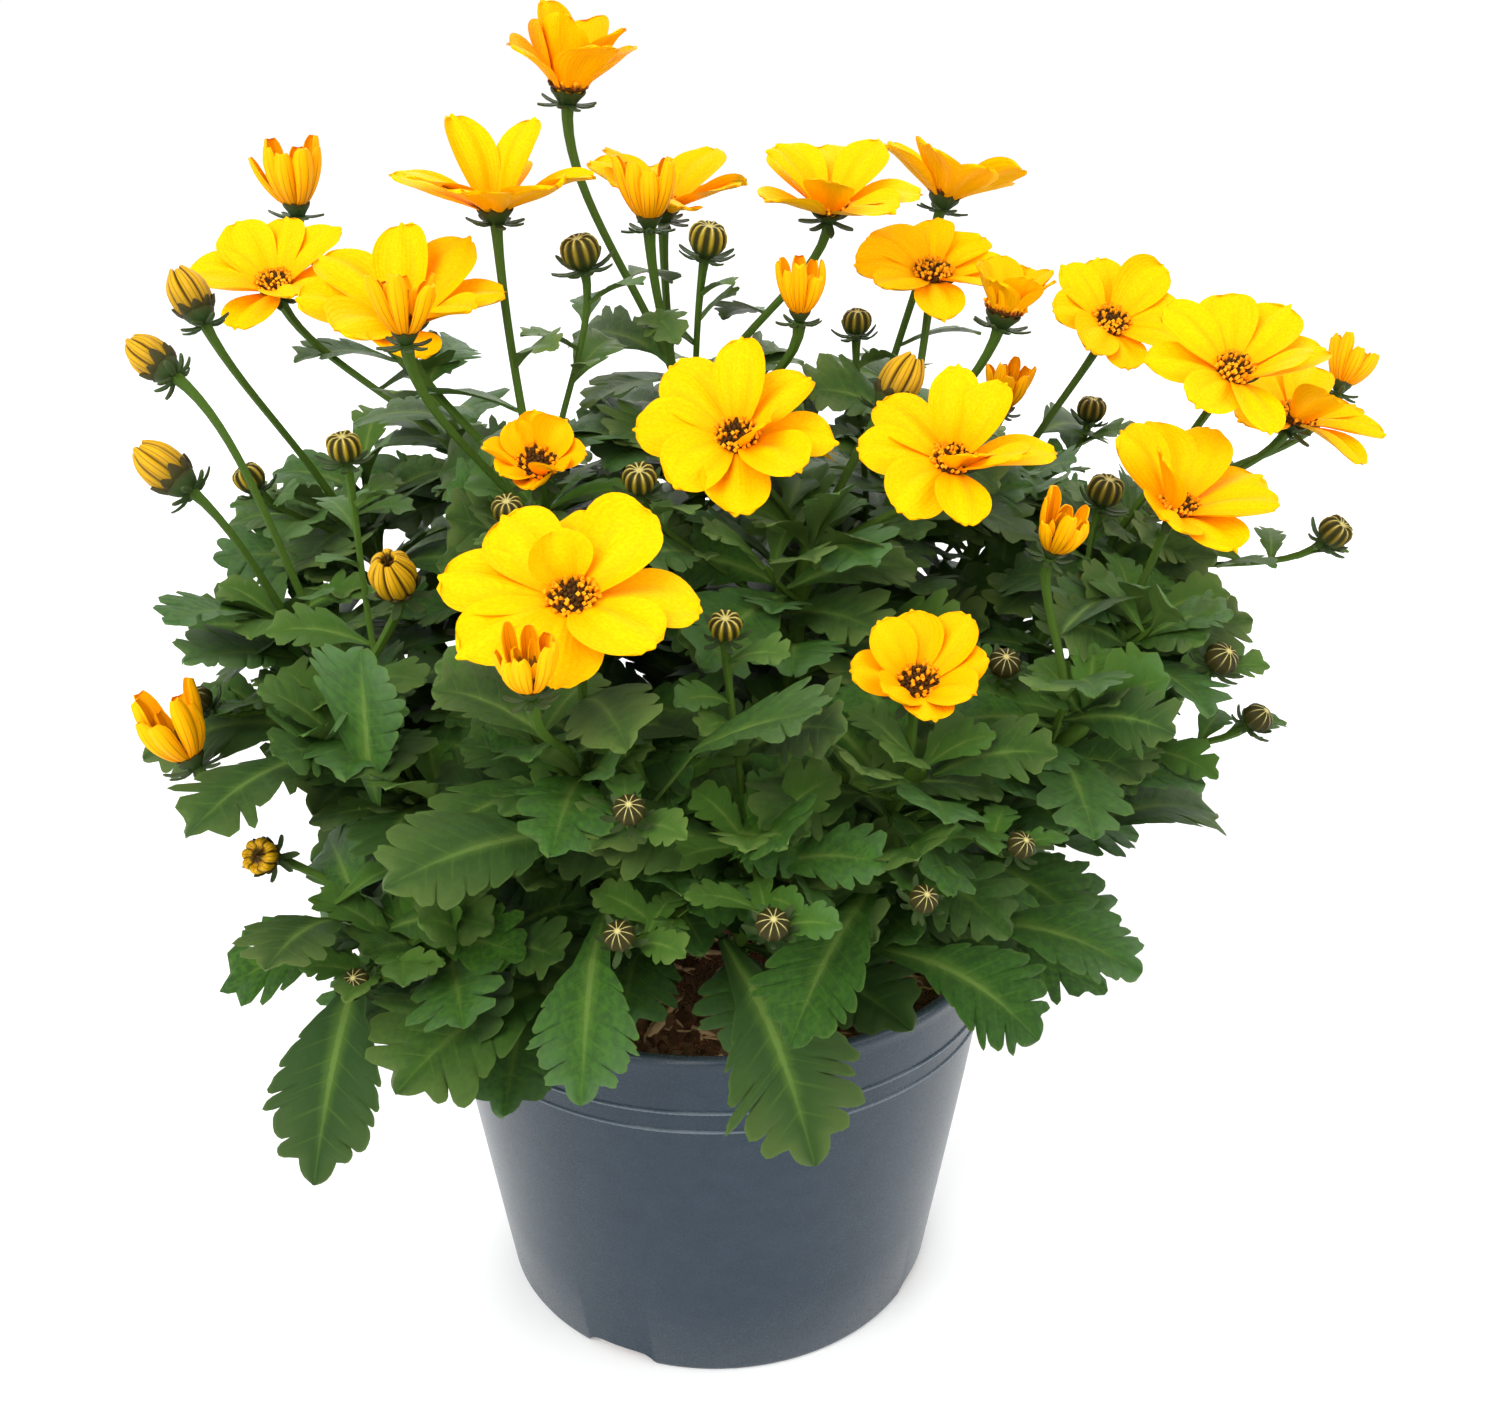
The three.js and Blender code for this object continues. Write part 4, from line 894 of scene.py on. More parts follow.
def meets_head(points, own=None):
    """True if a leaf would stand in a flower or bud other than its own."""
    for head in heads:
        size, middle = head_room(head)
        if head is not own and (np.linalg.norm(points - middle, axis=1) < size + HEAD_GAP).any():
            return True
    return False


def stands_before(points, spot, width):
    """True if a point lies nearer to the camera than a spot, and near the line of sight to it."""
    eye = np.array(CAMERA_PLACE)
    sight = spot - eye
    share = (points - eye) @ sight / sight.dot(sight)
    aside = np.linalg.norm(points - eye - np.outer(share, sight), axis=1)
    return bool(((share < 1) & (aside < width)).any())


def hides_head(points):
    """True if a leaf would stand before a head that shows from the front."""
    for head in heads:
        size, middle = head_room(head)
        at_back = middle[1] > BACK_FROM and middle[2] < BACK_UNDER
        if not at_back and stands_before(points, middle, size * HEAD_SEEN):
            return True
    return False


def hides_soil(points, width):
    """True if a leaf would stand before a spot of soil that shows from the front."""
    return any(stands_before(points, np.array([*spot, SOIL_TOP]), width * SOIL_SEEN) for spot in SOIL_SHOWS)


def fill_leaf(stem, root, way, size, number, petiole=PETIOLE, droop=9.0, young=False, own=None):
    """Give a stem one smaller leaf, if it stays in the bush and clear of the pot and of every head."""
    base = root + way * petiole * size
    tip = base + way * LEAF_LENGTH * size - UP * droop * size
    outwards = towards(math.degrees(math.atan2(base[1], base[0])), 0)
    tilt = outwards * LOOKS_INWARDS + towards(180 * draw(number, 11), 0) * 0.35 + LIGHT_SIDE
    leaf = {"root": root, "base": base, "tip": tip, "arch": FILL_ARCH * size,
            "width": LEAF_WIDTH * size * (YOUNG_BREADTH if young else FILL_BREADTH),
            "roll": 0.3 * draw(number, 3), "large": False, "number": number, "fill": True, "young": young,
            "tilt": tilt}
    points = leaf_points(leaf)
    inside = (points > LIMIT_LOW).all() and (points < LIMIT_HIGH).all()
    hidden = own is None and (hides_head(points) or hides_soil(points, leaf["width"]))
    if inside and not hidden and not over_pot(points) and not meets_head(points, own):
        stem["leaves"].append(leaf)


def grow_spiral(stem):
    for i in range(SPIRAL_LEAVES):
        number = SPIRAL_NUMBERS + stem["number"] * PER_STEM + i
        fork = lerp(SPIRAL_FROM, SPIRAL_TO, (i + 0.5) / SPIRAL_LEAVES)
        way = towards(i * SPIRAL_TURN + stem["number"] * 53, lerp(*SPIRAL_RISES, fork) + 16 * draw(number, 2))
        size = lerp(*SPIRAL_SIZES, fork) * (1 + 0.16 * draw(number, 1))
        fill_leaf(stem, on_curve(stem["curve"], fork), way, size, number,
                  droop=SPIRAL_DROOP + 5 * draw(number, 12))


def grow_tuft(stem):
    for i in range(TUFT_LEAVES):
        number = TUFT_NUMBERS + stem["number"] * PER_STEM + i
        way = towards(i * 360 / TUFT_LEAVES + 31 * stem["number"], TUFT_RISE + 20 * draw(number, 2))
        size = TUFT_SIZE + 0.1 * draw(number, 1)
        fill_leaf(stem, on_curve(stem["curve"], STEM_TIP), way, size, number, SHORT_PETIOLE, 8, True)


def grow_shoots(stem):
    """Short shoots to either side, each a bent twig with a spiral of leaves that get smaller."""
    for i in range(SIDE_SHOOTS):
        number = SHOOT_NUMBERS + stem["number"] * PER_STEM + i * PER_SHOOT
        root = on_curve(stem["curve"], lerp(SHOOTS_FROM, SHOOTS_TO, (i + 0.5) / SIDE_SHOOTS))
        outwards = math.degrees(math.atan2(root[1], root[0]))
        turn = outwards + (1 if i % 2 else -1) * (SHOOT_ASIDE + 35 * draw(number, 1))
        length = SHOOT_LENGTH + 7 * draw(number, 3)
        end = root + towards(turn, SHOOT_RISE + 14 * draw(number, 2)) * length
        twig = [root, lerp(root, end, 0.5) - UP * SHOOT_SAG, end]
        if meets_head(np.array([on_curve(twig, t) for t in (0.3, 0.6, 1)])):
            continue
        stem["twigs"].append(twig)
        for k in range(SHOOT_LEAVES):
            share = k / SHOOT_LEAVES
            size = lerp(*SHOOT_SIZES, share) * (1 + 0.12 * draw(number + k, 4))
            way = towards(turn + k * SPIRAL_TURN, lerp(*SHOOT_RISES, share) + 12 * draw(number + k, 5))
            place = on_curve(twig, lerp(SHOOT_BARE, STEM_TIP, k / (SHOOT_LEAVES - 1)))
            fill_leaf(stem, place, way, size, number + k, SHORT_PETIOLE, 10, k >= OLD_SHOOT_LEAVES)


def grow_on_stalk(stem, head):
    """Slim leaves on the lower part of a long stalk; its upper part stays bare."""
    length = curve_length(head["curve"])
    if length < LEAFY_STALK or head["kind"] == "bud":
        return
    for i in range(min(STALK_LEAVES_MOST, int(length / STALK_LEAF_STEP * LEAFY_SHARE) + 1)):
        number = STALK_NUMBERS + head["number"] * PER_HEAD + i
        root = on_curve(head["curve"], 0.08 + STALK_LEAF_STEP * i / length)
        size = lerp(*STALK_SIZES, i / STALK_LEAVES_MOST) + 0.1 * draw(number, 1)
        way = towards(i * SPIRAL_TURN + 180 * draw(head["number"], 5), STALK_RISE + 18 * draw(number, 2))
        fill_leaf(stem, root, way, size, number, SLIM_PETIOLE, 9, size < YOUNG_UNDER)


def grow_rosette(stem, head):
    """Young leaves all round a small bud's stalk, close under the bud."""
    for i in range(ROSETTE_LEAVES):
        number = ROSETTE_NUMBERS + head["number"] * PER_HEAD + i
        way = towards(360 / ROSETTE_LEAVES * i + 50 * draw(number, 1), 10)
        root = on_curve(head["curve"], ROSETTE_TOP - ROSETTE_STEP * i)
        size = ROSETTE_SIZE + 0.08 * draw(number, 2)
        fill_leaf(stem, root, unit(way + head["facing"] * 0.35), size, number, ROSETTE_PETIOLE, 7, True, head)


for stem in stems:
    grow_spiral(stem)
    grow_tuft(stem)
    grow_shoots(stem)
    for head in stem["heads"]:
        grow_on_stalk(stem, head)
        if head["kind"] == "small_bud":
            grow_rosette(stem, head)
for i in range(SKIRT_LEAVES):
    number = SKIRT_NUMBERS + i
    turn = 360 * i / SKIRT_LEAVES - 180 + 5 * draw(number, 4)
    if FRONT_GAP[0] < turn < FRONT_GAP[1]:
        continue
    stem = min(stems, key=lambda item: -np.dot(unit(item["curve"][1][:2]), towards(turn, 0)[:2]))
    root = on_curve(stem["curve"], SKIRT_ROOT + 0.1 * draw(number, 5))
    out = RIM_RADIUS + SKIRT_OVER_LIP + 3 * draw(number, 6)
    petiole = towards(turn, 0) * out + UP * (SKIRT_HEIGHT + 5 * draw(number, 7)) - root
    size = SKIRT_SIZE + 0.12 * draw(number, 1)
    length = np.linalg.norm(petiole) / size * 0.86
    fill_leaf(stem, root, unit(petiole), size, number, length, SKIRT_DROOP + 8 * draw(number, 8))


# Stems and stalks
# Each stem is a fluted green bar, a little thicker where leaves join it, and thinner to its end.
# Head stalks branch off it, as slim and round bars, and end square under a calyx.
STEM_RADIUS = 1.45
STALK_RADIUS = 1.0
TWIG_RADIUS = 0.75
STEM_STEP, STALK_STEP = 2.5, 3.5
STALK_ROWS_LEAST, TWIG_ROWS = 6, 8
STEM_SIDES, STALK_SIDES = 12, 8
STEM_FLUTE, STALK_FLUTE = 0.07, 0.05
JOINT_SWELL, JOINT_LENGTH, SWELL_LIMIT = 0.22, 1.8, 1.3
STALK_WAIST, STALK_FLARE = 0.16, 0.35
STEM_GREEN = (0.060, 0.120, 0.012)
STEM_DARK = (0.028, 0.056, 0.007)
STEM_FINISH, LEAF_FINISH, BRACT_FINISH, SMALL_BUD_FINISH = range(4)

stalk_cover = Finish("green_stem", STEM_GREEN, 0.6, 0.1)
streaks = stalk_cover.noise(160.0, 4.0, 0.6)
streak_strength, _, _ = stalk_cover.marks("tone")
stalk_cover.coat(streaks * streak_strength, STEM_DARK)
stalk_cover.bump(streaks, 0.25, 0.3)
green_stem = stalk_cover.close()


def stem_bar(skins, stem):
    """The stem, with a low swelling where each leaf joins it, and the twigs of its side shoots."""
    curve = stem["curve"]
    shares = np.linspace(0, 1, int(curve_length(curve) / STEM_STEP))
    points = np.array([on_curve(curve, t) for t in shares])
    radii = lerp(STEM_RADIUS, STALK_RADIUS, shares)
    reach = np.linalg.norm(points - curve[0], axis=1)
    for leaf in stem["leaves"]:
        fork = np.linalg.norm(leaf["root"] - curve[0])
        radii = radii + JOINT_SWELL * np.exp(-((reach - fork) / JOINT_LENGTH) ** 2)
    radii = np.minimum(radii, STEM_RADIUS * SWELL_LIMIT)
    radii[-1] *= 0.5
    skins.add(bar_rings(points, radii, STEM_SIDES, STEM_FLUTE), tone=(0.6, 0, 0), finish=STEM_FINISH)
    for twig in stem["twigs"]:
        points = [on_curve(twig, t) for t in np.linspace(0, 1, TWIG_ROWS)]
        radii = [TWIG_RADIUS] * (TWIG_ROWS - 1) + [TWIG_RADIUS / 2]
        skins.add(bar_rings(points, radii, STALK_SIDES, STALK_FLUTE), tone=(0.5, 0, 0), finish=STEM_FINISH)


def stalk_bar(skins, head):
    """A head's stalk, slimmest halfway up and a little wider under the calyx."""
    length = curve_length(head["curve"])
    shares = np.linspace(0, 1, max(STALK_ROWS_LEAST, int(length / STALK_STEP)))
    points = [on_curve(head["curve"], t) for t in shares]
    thick = TWIG_RADIUS if head["kind"] == "small_bud" else STALK_RADIUS
    radii = thick * (1 - STALK_WAIST * np.sin(np.pi * shares)) + STALK_FLARE * shares ** 12
    tone = (0.75 + 0.25 * draw(head["number"], 9), 0, 0)
    skins.add(bar_rings(points, radii, STALK_SIDES, STALK_FLUTE), tone=tone, finish=STEM_FINISH)


# Leaves
# Each leaf is one thin blade on a winged stalk, cut into rounded lobes that point forwards, with a
# pale midrib and fine side veins. Its lobes lift and drop a little. Towards the lobe tips lies a grey-blue
# colour, partly the leaf's own bloom and partly a painted sheen, most on the highest blades as painted light.
LEAF_THICKNESS = 0.36
VEIN_SLANT = 0.6
BLADE_BREADTH = 1.16
LOBES_BEGIN, LOBES_END = 0.08, 0.84
LOBE_CUTS = {"young": 0.5, "fill": 0.46, "large": 0.37, "plain": 0.4}
SMALL_LEAF = 18
LOBE_SHIFT = 0.28
WING = 0.24
WIDEST = 0.5
# How far along its lobe each row of a blade lies. One row of the finer leaves dents the lobe.
FINE_PHASES = (0, 0.09, 0.24, 0.44, 0.66, 0.85, 0.96)
DENT = 0.44
PLAIN_PHASES = (0, 0.25, 0.62, 0.92)
FINE_COLUMNS = np.array([-1, -0.64, -0.22, 0, 0.22, 0.64, 1])
PLAIN_COLUMNS = np.array([-1, -0.55, 0, 0.55, 1])
STALK_ROWS = (0, 0.3, 0.65)
MIDRIB_ROOT, MIDRIB_THINS = 0.3, 0.2
# End lobe: share of its length, half width as a share of the leaf's, slant of the row.
FINE_END = ((0.15, 0.3, 0.5), (0.4, 0.28, 0.34), (0.62, 0.25, 0.22), (0.82, 0.19, 0.1), (0.94, 0.11, 0.03),
            (1, 0.03, 0))
PLAIN_END = ((0.2, 0.29, 0.45), (0.65, 0.24, 0.2), (1, 0.06, 0))
# The highest leaves stand in the light and get more of the painted grey sheen: from this height, over this
# much.
LIT_FROM, LIT_DEPTH = 135, 60
LEAF_DARK = (0.010, 0.050, 0.003)
LEAF_MID = (0.044, 0.150, 0.004)
LEAF_YOUNG = (0.065, 0.170, 0.011)
LEAF_SHEEN_GREY = (0.160, 0.228, 0.046)
LEAF_SHEEN_BLUE = (0.098, 0.196, 0.068)
LEAF_UNDER = (0.125, 0.2, 0.036)
MIDRIB_PALE = (0.17, 0.27, 0.05)
MIDRIB_GREEN = (0.105, 0.205, 0.022)


def blade_reach(t):
    """Half width at the lobes' tips, by where their rows leave the midrib, as a share of the widest."""
    if t < WIDEST:
        return WING + (1 - WING) * math.sin(math.pi / 2 * t / WIDEST) ** 1.15
    return 1 - 0.5 * ((t - WIDEST) / (LOBES_END - WIDEST)) ** 1.8


def tooth(phase):
    """How far a lobe's margin stands out along its length: broad and blunt, fullest past its middle."""
    if phase < 0.6:
        return math.sin(math.pi / 2 * phase / 0.6) ** 0.45
    return (1 - ((phase - 0.6) / 0.4) ** 2) ** 0.42


def lobe_count(leaf):
    if leaf["large"] and leaf["number"] % 3:
        return 6
    if leaf.get("young"):
        return 3
    return 4 if leaf["width"] < SMALL_LEAF else 5


def leaf_kind(leaf):
    if leaf.get("young"):
        return "young"
    return "fill" if leaf.get("fill") else "large" if leaf["large"] else "plain"


def leaf_rows(leaf):
    """Rows from stalk to tip: centre, way, half widths, slant, phase, share along, blade, lifts."""
    number, width, lobes = leaf["number"], leaf["width"], lobe_count(leaf)
    phases, end_rows = (PLAIN_PHASES, PLAIN_END) if leaf.get("fill") else (FINE_PHASES, FINE_END)
    spine = leaf_spine(leaf)
    stalk = np.linalg.norm(leaf["base"] - leaf["root"])
    stalk_guides = [leaf["root"], leaf["base"] - curve_way(spine, 0) * 0.4 * stalk, leaf["base"]]
    rows = []
    for t in STALK_ROWS:
        half = (0.7 + 0.4 * t) * (0.5 + 0.025 * width)
        rows.append((on_curve(stalk_guides, t), curve_way(stalk_guides, t), half, half, 0, 0, 0, 0, 0, 0))
    width *= BLADE_BREADTH
    deep = LOBE_CUTS[leaf_kind(leaf)] + 0.08 * draw(number, 41)
    shifts = [LOBE_SHIFT * draw(number, 70 + lobe) for lobe in range(1, lobes)]
    edges = [(lobe + shift) / lobes for lobe, shift in enumerate([0, *shifts, 0])]
    for lobe in range(lobes):
        for phase in phases:
            t = lerp(LOBES_BEGIN, LOBES_END, lerp(edges[lobe], edges[lobe + 1], phase))
            crest = tooth(phase) - (0.12 + 0.12 * draw(number, 130 + lobe) if phase == DENT else 0)
            cut = deep * (0.3 + 0.95 * t) * (1 + 0.3 * draw(number, 110 + lobe))
            halves, lifts = [], []
            for side in (0, 20):
                stand = cut * crest * (1 + 0.35 * draw(number, 50 + lobe + side))
                halves.append(width / 2 * blade_reach(t) * (1 - cut + stand))
                lifts.append(crest * draw(number, 90 + lobe + side))
            rows.append((on_curve(spine, t), curve_way(spine, t), *halves, VEIN_SLANT, lobe + phase, t, 1,
                         *lifts))
    for share, half, slant in end_rows:
        t = lerp(LOBES_END, 1, share)
        half *= width / 2
        rows.append((on_curve(spine, t), curve_way(spine, t), half, half, slant, lobes, t, 1, 0, 0))
    return rows


def leaf_skin(skins, leaf):
    """One leaf: its rows cross the blade along the side veins, its underside meets the margin."""
    number = leaf["number"]
    v = PLAIN_COLUMNS if leaf.get("fill") else FINE_COLUMNS
    away, on_left = np.abs(v), v < 0
    size = leaf["width"] / LEAF_WIDTH
    fold = 0.2 + 0.14 * draw(number, 44)
    wave_left, wave_right = draw(number, 42), draw(number, 43)
    rings, marks = [], []
    for centre, way, left, right, slant, phase, t, blade, lift_left, lift_right in leaf_rows(leaf):
        side, upper = leaf_axes(leaf, way)
        x = v * np.where(on_left, left, right)
        wave = np.where(on_left, np.sin(2 * np.pi * (1.3 * t + wave_left)),
                        np.sin(2 * np.pi * (1.5 * t + wave_right)))
        lift = fold * np.abs(x) * (1 - 0.5 * away ** 2) - 0.7 * size * blade * t * away ** 3
        ripple = 0.22 * math.cos(2 * math.pi * phase) * away * (1 - away)
        lift += blade * size * (wave * v * v * t + ripple)
        lift += blade * size * 0.75 * np.where(on_left, lift_left, lift_right) * away ** 2
        rib = np.where(v == 0, MIDRIB_ROOT - MIDRIB_THINS * t, 0)
        top = centre + np.outer(x, side) + np.outer(np.abs(x) * slant, way)
        top = top + np.outer(lift - 0.6 * rib, upper)
        under = (top - np.outer(LEAF_THICKNESS + rib, upper))[1:-1]
        rings.append(np.concatenate([top, under[::-1]]))
        mark = np.column_stack([np.full(len(v), phase), v, np.full(len(v), t)])
        below = mark[1:-1][::-1].copy()
        below[:, 2] += 2
        marks.append(np.concatenate([mark, below]))
    # Higher leaves get more of the painted grey sheen, as if they stood in more light.
    high = min(1, max(0, (leaf["base"][2] - LIT_FROM) / LIT_DEPTH))
    lit_greyness = lerp(draw_share(number, 46) * 0.8, 1, 0.7 * high)
    tone = (draw_share(number, 45), lit_greyness, 1.0 if leaf.get("young") else 0)
    skins.add(rings, marks, tone, LEAF_FINISH)


leaf_cover = Finish("lobed_leaf", LEAF_MID, 0.42, 0.27)
lobe_phase, across, share_along = leaf_cover.marks("where")
brightness, lit_greyness, youth = leaf_cover.marks("tone")
# The marks of the underside carry 2 more along the leaf.
underside = share_along.fade(1.2, 1.5)
along = share_along - underside * 2.0
aside = abs(across)
near_vein = abs(lobe_phase.calc("FRACT") - 0.5)
cells = leaf_cover.amount("TexVoronoi", {"Scale": 620.0}, "Distance", feature="DISTANCE_TO_EDGE")
leaf_cover.colour = leaf_cover.blend(brightness, LEAF_DARK, LEAF_MID)
leaf_cover.coat(leaf_cover.noise(70.0, 4.0, 0.6).fade(0.38, 0.62, 0.0, 0.7), LEAF_DARK)
leaf_cover.coat(youth * 0.6, LEAF_YOUNG)
# Painted sheen in grey or blue towards the lobe tips, partly the leaf's own bloom.
sheen_share = along.fade(0.1, 1.0, 0.15, 1.0) * lit_greyness * aside.fade(0.15, 0.95, 0.25, 1.0)
sheen_colour = leaf_cover.blend(brightness.fade(0.45, 0.75), LEAF_SHEEN_GREY, LEAF_SHEEN_BLUE)
leaf_cover.coat(sheen_share * 0.85, sheen_colour)
leaf_cover.coat(cells.fade(0.0, 0.12, 0.12, 0.0), LEAF_UNDER)
vein_share = near_vein.fade(0.01, 0.08, 0.22, 0.0) * aside.fade(0.2, 0.9, 1.0, 0.0)
leaf_cover.coat(vein_share, MIDRIB_GREEN)
leaf_cover.coat(aside.fade(0.9, 1.0, 0.0, 0.3), LEAF_UNDER)
# The midrib is drawn by the distance from it, as a share of its own width there.
rib_width = along.fade(0.0, 0.35, 0.7, 0.34) - along * 0.22
from_rib = aside / rib_width
rib_strength = along.fade(0.4, 0.95, 1.0, 0.25)
leaf_cover.coat(from_rib.fade(0.0, 1.0, 0.6, 0.0) * rib_strength, MIDRIB_GREEN)
leaf_cover.coat(from_rib.fade(0.1, 0.3, 0.5, 0.0) * rib_strength, MIDRIB_PALE)
leaf_cover.coat(underside * 0.6, LEAF_UNDER)
leaf_cover.bump(cells.fade(0.0, 0.25, 0.0, 0.5) + vein_share * -1.5, 0.6, 0.6)
lobed_leaf = leaf_cover.close()


# Calyces and small buds
# Under each head is a cup of short olive scales in a ring of narrow grey-green bracts that spread.
# A small bud is only that cup: a brown ribbed globe with a cream star where its scales meet. On
# the buds that stand highest the petals already show as yellow ribs.
BRACT_GREEN = (0.03, 0.06, 0.012)
BRACT_GREY = (0.055, 0.082, 0.028)
SCALE_OLIVE = (0.042, 0.027, 0.006)
BUD_BROWN = (0.026, 0.022, 0.003)
BUD_CREAM = (0.62, 0.54, 0.2)
BUD_YELLOW = (0.36, 0.25, 0.008)
RIPE_ABOVE = 170
BRACT_REACH = 6.4
BRACT_ROWS = (0, 0.2, 0.5, 0.75, 0.92, 1)
BRACT_ACROSS = np.array([-1, -0.5, 0.5, 1, 0.5, -0.5])
BRACT_LIFT = np.array([0.12, 0.02, 0.02, 0.12, -0.32, -0.32])
BRACT_ROOT, BRACT_LEVEL, BRACT_DIP = 0.9, -1.3, 0.5
BUD_BRACTS, BUD_BRACT_REACH = 8, 5.0
CUP_SIDES = 24
CUP_SCALES = 8
# Outlines: radius and height above the seat; on the cup, how far its scales stand up there as well.
CUP_PROFILE = [(1.1, -1.7, 0), (1.9, -1.2, 0), (2.9, 0.0, 0.05), (3.6, 1.4, 0.2), (3.85, 2.5, 0.45),
               (3.6, 2.7, 0.45), (2.6, 2.3, 0.1), (1.0, 2.2, 0)]
CUP_HEIGHT = {"bloom": 0.55, "half_open": 0.6, "bud": 0.9}
SLIM_CUP = 0.8
BUD_RIBS = 10
BUD_PROFILE = [(0.8, -0.9), (1.5, -0.6), (2.4, 0.0), (2.95, 0.8), (3.12, 1.7), (2.95, 2.6), (2.4, 3.4),
               (1.6, 3.95), (0.8, 4.2), (0.25, 4.25)]
RIPE_PROFILE = [(0.8, -0.9), (1.7, -0.5), (2.55, 0.3), (3.0, 1.3), (3.1, 2.4), (2.95, 3.4), (2.5, 4.2),
                (1.8, 4.6), (1.1, 4.5), (0.3, 4.2)]
BUD_RELIEF, RIPE_RELIEF, RIPE_TIPS = 0.045, 0.09, 0.35

bract_cover = Finish("bract", BRACT_GREEN, 0.6, 0.2)
scale_share, _, bract_along = bract_cover.marks("where")
bract_cover.coat(bract_along, BRACT_GREY)
bract_cover.coat(scale_share.fade(0.1, 1.0), SCALE_OLIVE)
bract_cover.coat(bract_cover.noise(500.0, 3.0) * 0.35, STEM_DARK)
bract = bract_cover.close()

bud_cover = Finish("small_bud", BUD_BROWN, 0.6, 0.12)
on_rib, _, bud_height = bud_cover.marks("where")
ripeness, _, _ = bud_cover.marks("tone")
bud_cover.colour = bud_cover.blend(bud_height.fade(0.0, 0.5), BRACT_GREEN, BUD_BROWN)
bud_cover.coat(bud_height.fade(0.86, 1.0, 0.0, 0.8), BUD_CREAM)
bud_cover.coat(on_rib.fade(-0.3, 0.7) * bud_height.fade(0.15, 0.5, 0.0, 0.9) * ripeness, BUD_YELLOW)
bud_cover.coat(bud_height.fade(0.5, 0.85, 0.05, 1.0) * on_rib.fade(0.45, 1.0), BUD_CREAM)
small_bud = bud_cover.close()


def head_frame(head):
    """Turns a radius, a turn and a height in a head's own frame to points of the plant."""
    side = unit(np.cross(head["facing"], UP))
    upper = np.cross(side, head["facing"])

    def at(radius, turn, height):
        values = (np.asarray(value, float) for value in (radius, turn, height))
        radius, turn, height = np.broadcast_arrays(*values)
        return (head["seat"] + np.multiply.outer(radius * np.cos(turn), side)
                + np.multiply.outer(radius * np.sin(turn), upper) + np.multiply.outer(height, head["facing"]))
    return at


def bract_skin(skins, at, turn, reach, rise, number):
    """One narrow bract: it leaves the stalk level, dips a little and lifts its blunt tip."""
    rings, marks = [], []
    for u in BRACT_ROWS:
        radius = lerp(BRACT_ROOT, reach, u)
        height = BRACT_LEVEL - BRACT_DIP * math.sin(math.pi * u * 0.8) + rise * u * u
        blunt = 1 if u < 0.9 else 0.8 if u < 1 else 0.3
        half = (0.42 + 0.45 * math.sin(math.pi * (0.1 + 0.72 * u))) * blunt
        half *= reach / BRACT_REACH
        turn_here = turn + 0.1 * draw(number, 3) * u
        rings.append(at(radius, turn_here + BRACT_ACROSS * half / radius, height + BRACT_LIFT))
        marks.append(np.column_stack([np.zeros(6), BRACT_ACROSS, np.full(6, u)]))
    skins.add(rings, marks, (0, 0, 0), BRACT_FINISH)


def bud_skins(skins, head, at):
    """A small bud on its bracts. A ripe one is taller, and its ribs end at uneven heights."""
    scale, number = head["scale"], head["number"]
    turn = ring_turns(BUD_RIBS * 4)
    rib = np.cos(BUD_RIBS * turn)
    uneven = np.array([draw(number, 30 + round(BUD_RIBS * way / (2 * np.pi)) % BUD_RIBS) for way in turn])
    ripe = head["seat"][2] > RIPE_ABOVE
    rings, marks = [], []
    for i, (radius, height) in enumerate(RIPE_PROFILE if ripe else BUD_PROFILE):
        share = i / (len(BUD_PROFILE) - 1)
        relief = (RIPE_RELIEF if ripe else BUD_RELIEF) * rib
        lift = RIPE_TIPS * share ** 2 * uneven * (rib + 1) / 2 if ripe and share < 1 else 0
        rings.append(at(scale * radius * (1 + relief), turn, (height + lift) * scale))
        marks.append(np.column_stack([rib, turn * 0, np.full(len(turn), share)]))
    skins.add(rings, marks, (0.7 + 0.3 * draw(number, 7) if ripe else 0, 0, 0), SMALL_BUD_FINISH)
    for i in range(BUD_BRACTS):
        turn = 2 * math.pi * (i + 0.2 * draw(number, i)) / BUD_BRACTS
        bract_skin(skins, at, turn, (BUD_BRACT_REACH + 0.9 * draw(number, 10 + i)) * scale,
                   2.0 + 1.2 * draw(number, 20 + i), number + i)


def cup_skins(skins, head, at):
    """The cup of scales under a larger head, and its seven or eight bracts."""
    scale, number = head["scale"], head["number"]
    turn = ring_turns(CUP_SIDES)
    scallop = np.cos(CUP_SCALES * turn)
    rings, marks = [], []
    slim = SLIM_CUP if head["kind"] == "half_open" else 1
    for radius, height, wave in CUP_PROFILE:
        height = height * CUP_HEIGHT[head["kind"]] if height > 0 else height
        reach = scale * slim * radius * (1 + 0.03 * scallop)
        rings.append(at(reach, turn, scale * (height + wave * scallop)))
        marks.append(np.column_stack([np.full(CUP_SIDES, 0.2 + 0.3 * height), turn * 0, turn * 0]))
    skins.add(rings, marks, (0, 0, 0), BRACT_FINISH)
    count = 8 if number % 2 else 7
    for i in range(count):
        turn = 2 * math.pi * (i + 0.15 * draw(number, i)) / count
        bract_skin(skins, at, turn, (BRACT_REACH + 0.5 * draw(number, 10 + i)) * scale,
                   0.7 + 0.9 * draw(number, 20 + i), number + i)


for stem in stems:
    skins = Skins()
    stem_bar(skins, stem)
    for head in stem["heads"]:
        stalk_bar(skins, head)
        add_calyx = bud_skins if head["kind"] == "small_bud" else cup_skins
        add_calyx(skins, head, head_frame(head))
    for leaf in stem["leaves"]:
        leaf_skin(skins, leaf)
    label = f"{stem['number']:02d}"
    leafy_stem = skins.piece(f"leafy_stem_{label}", [green_stem, lobed_leaf, bract, small_bud], 50)
    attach(leafy_stem, "root")
    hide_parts(f"stem_{label}")


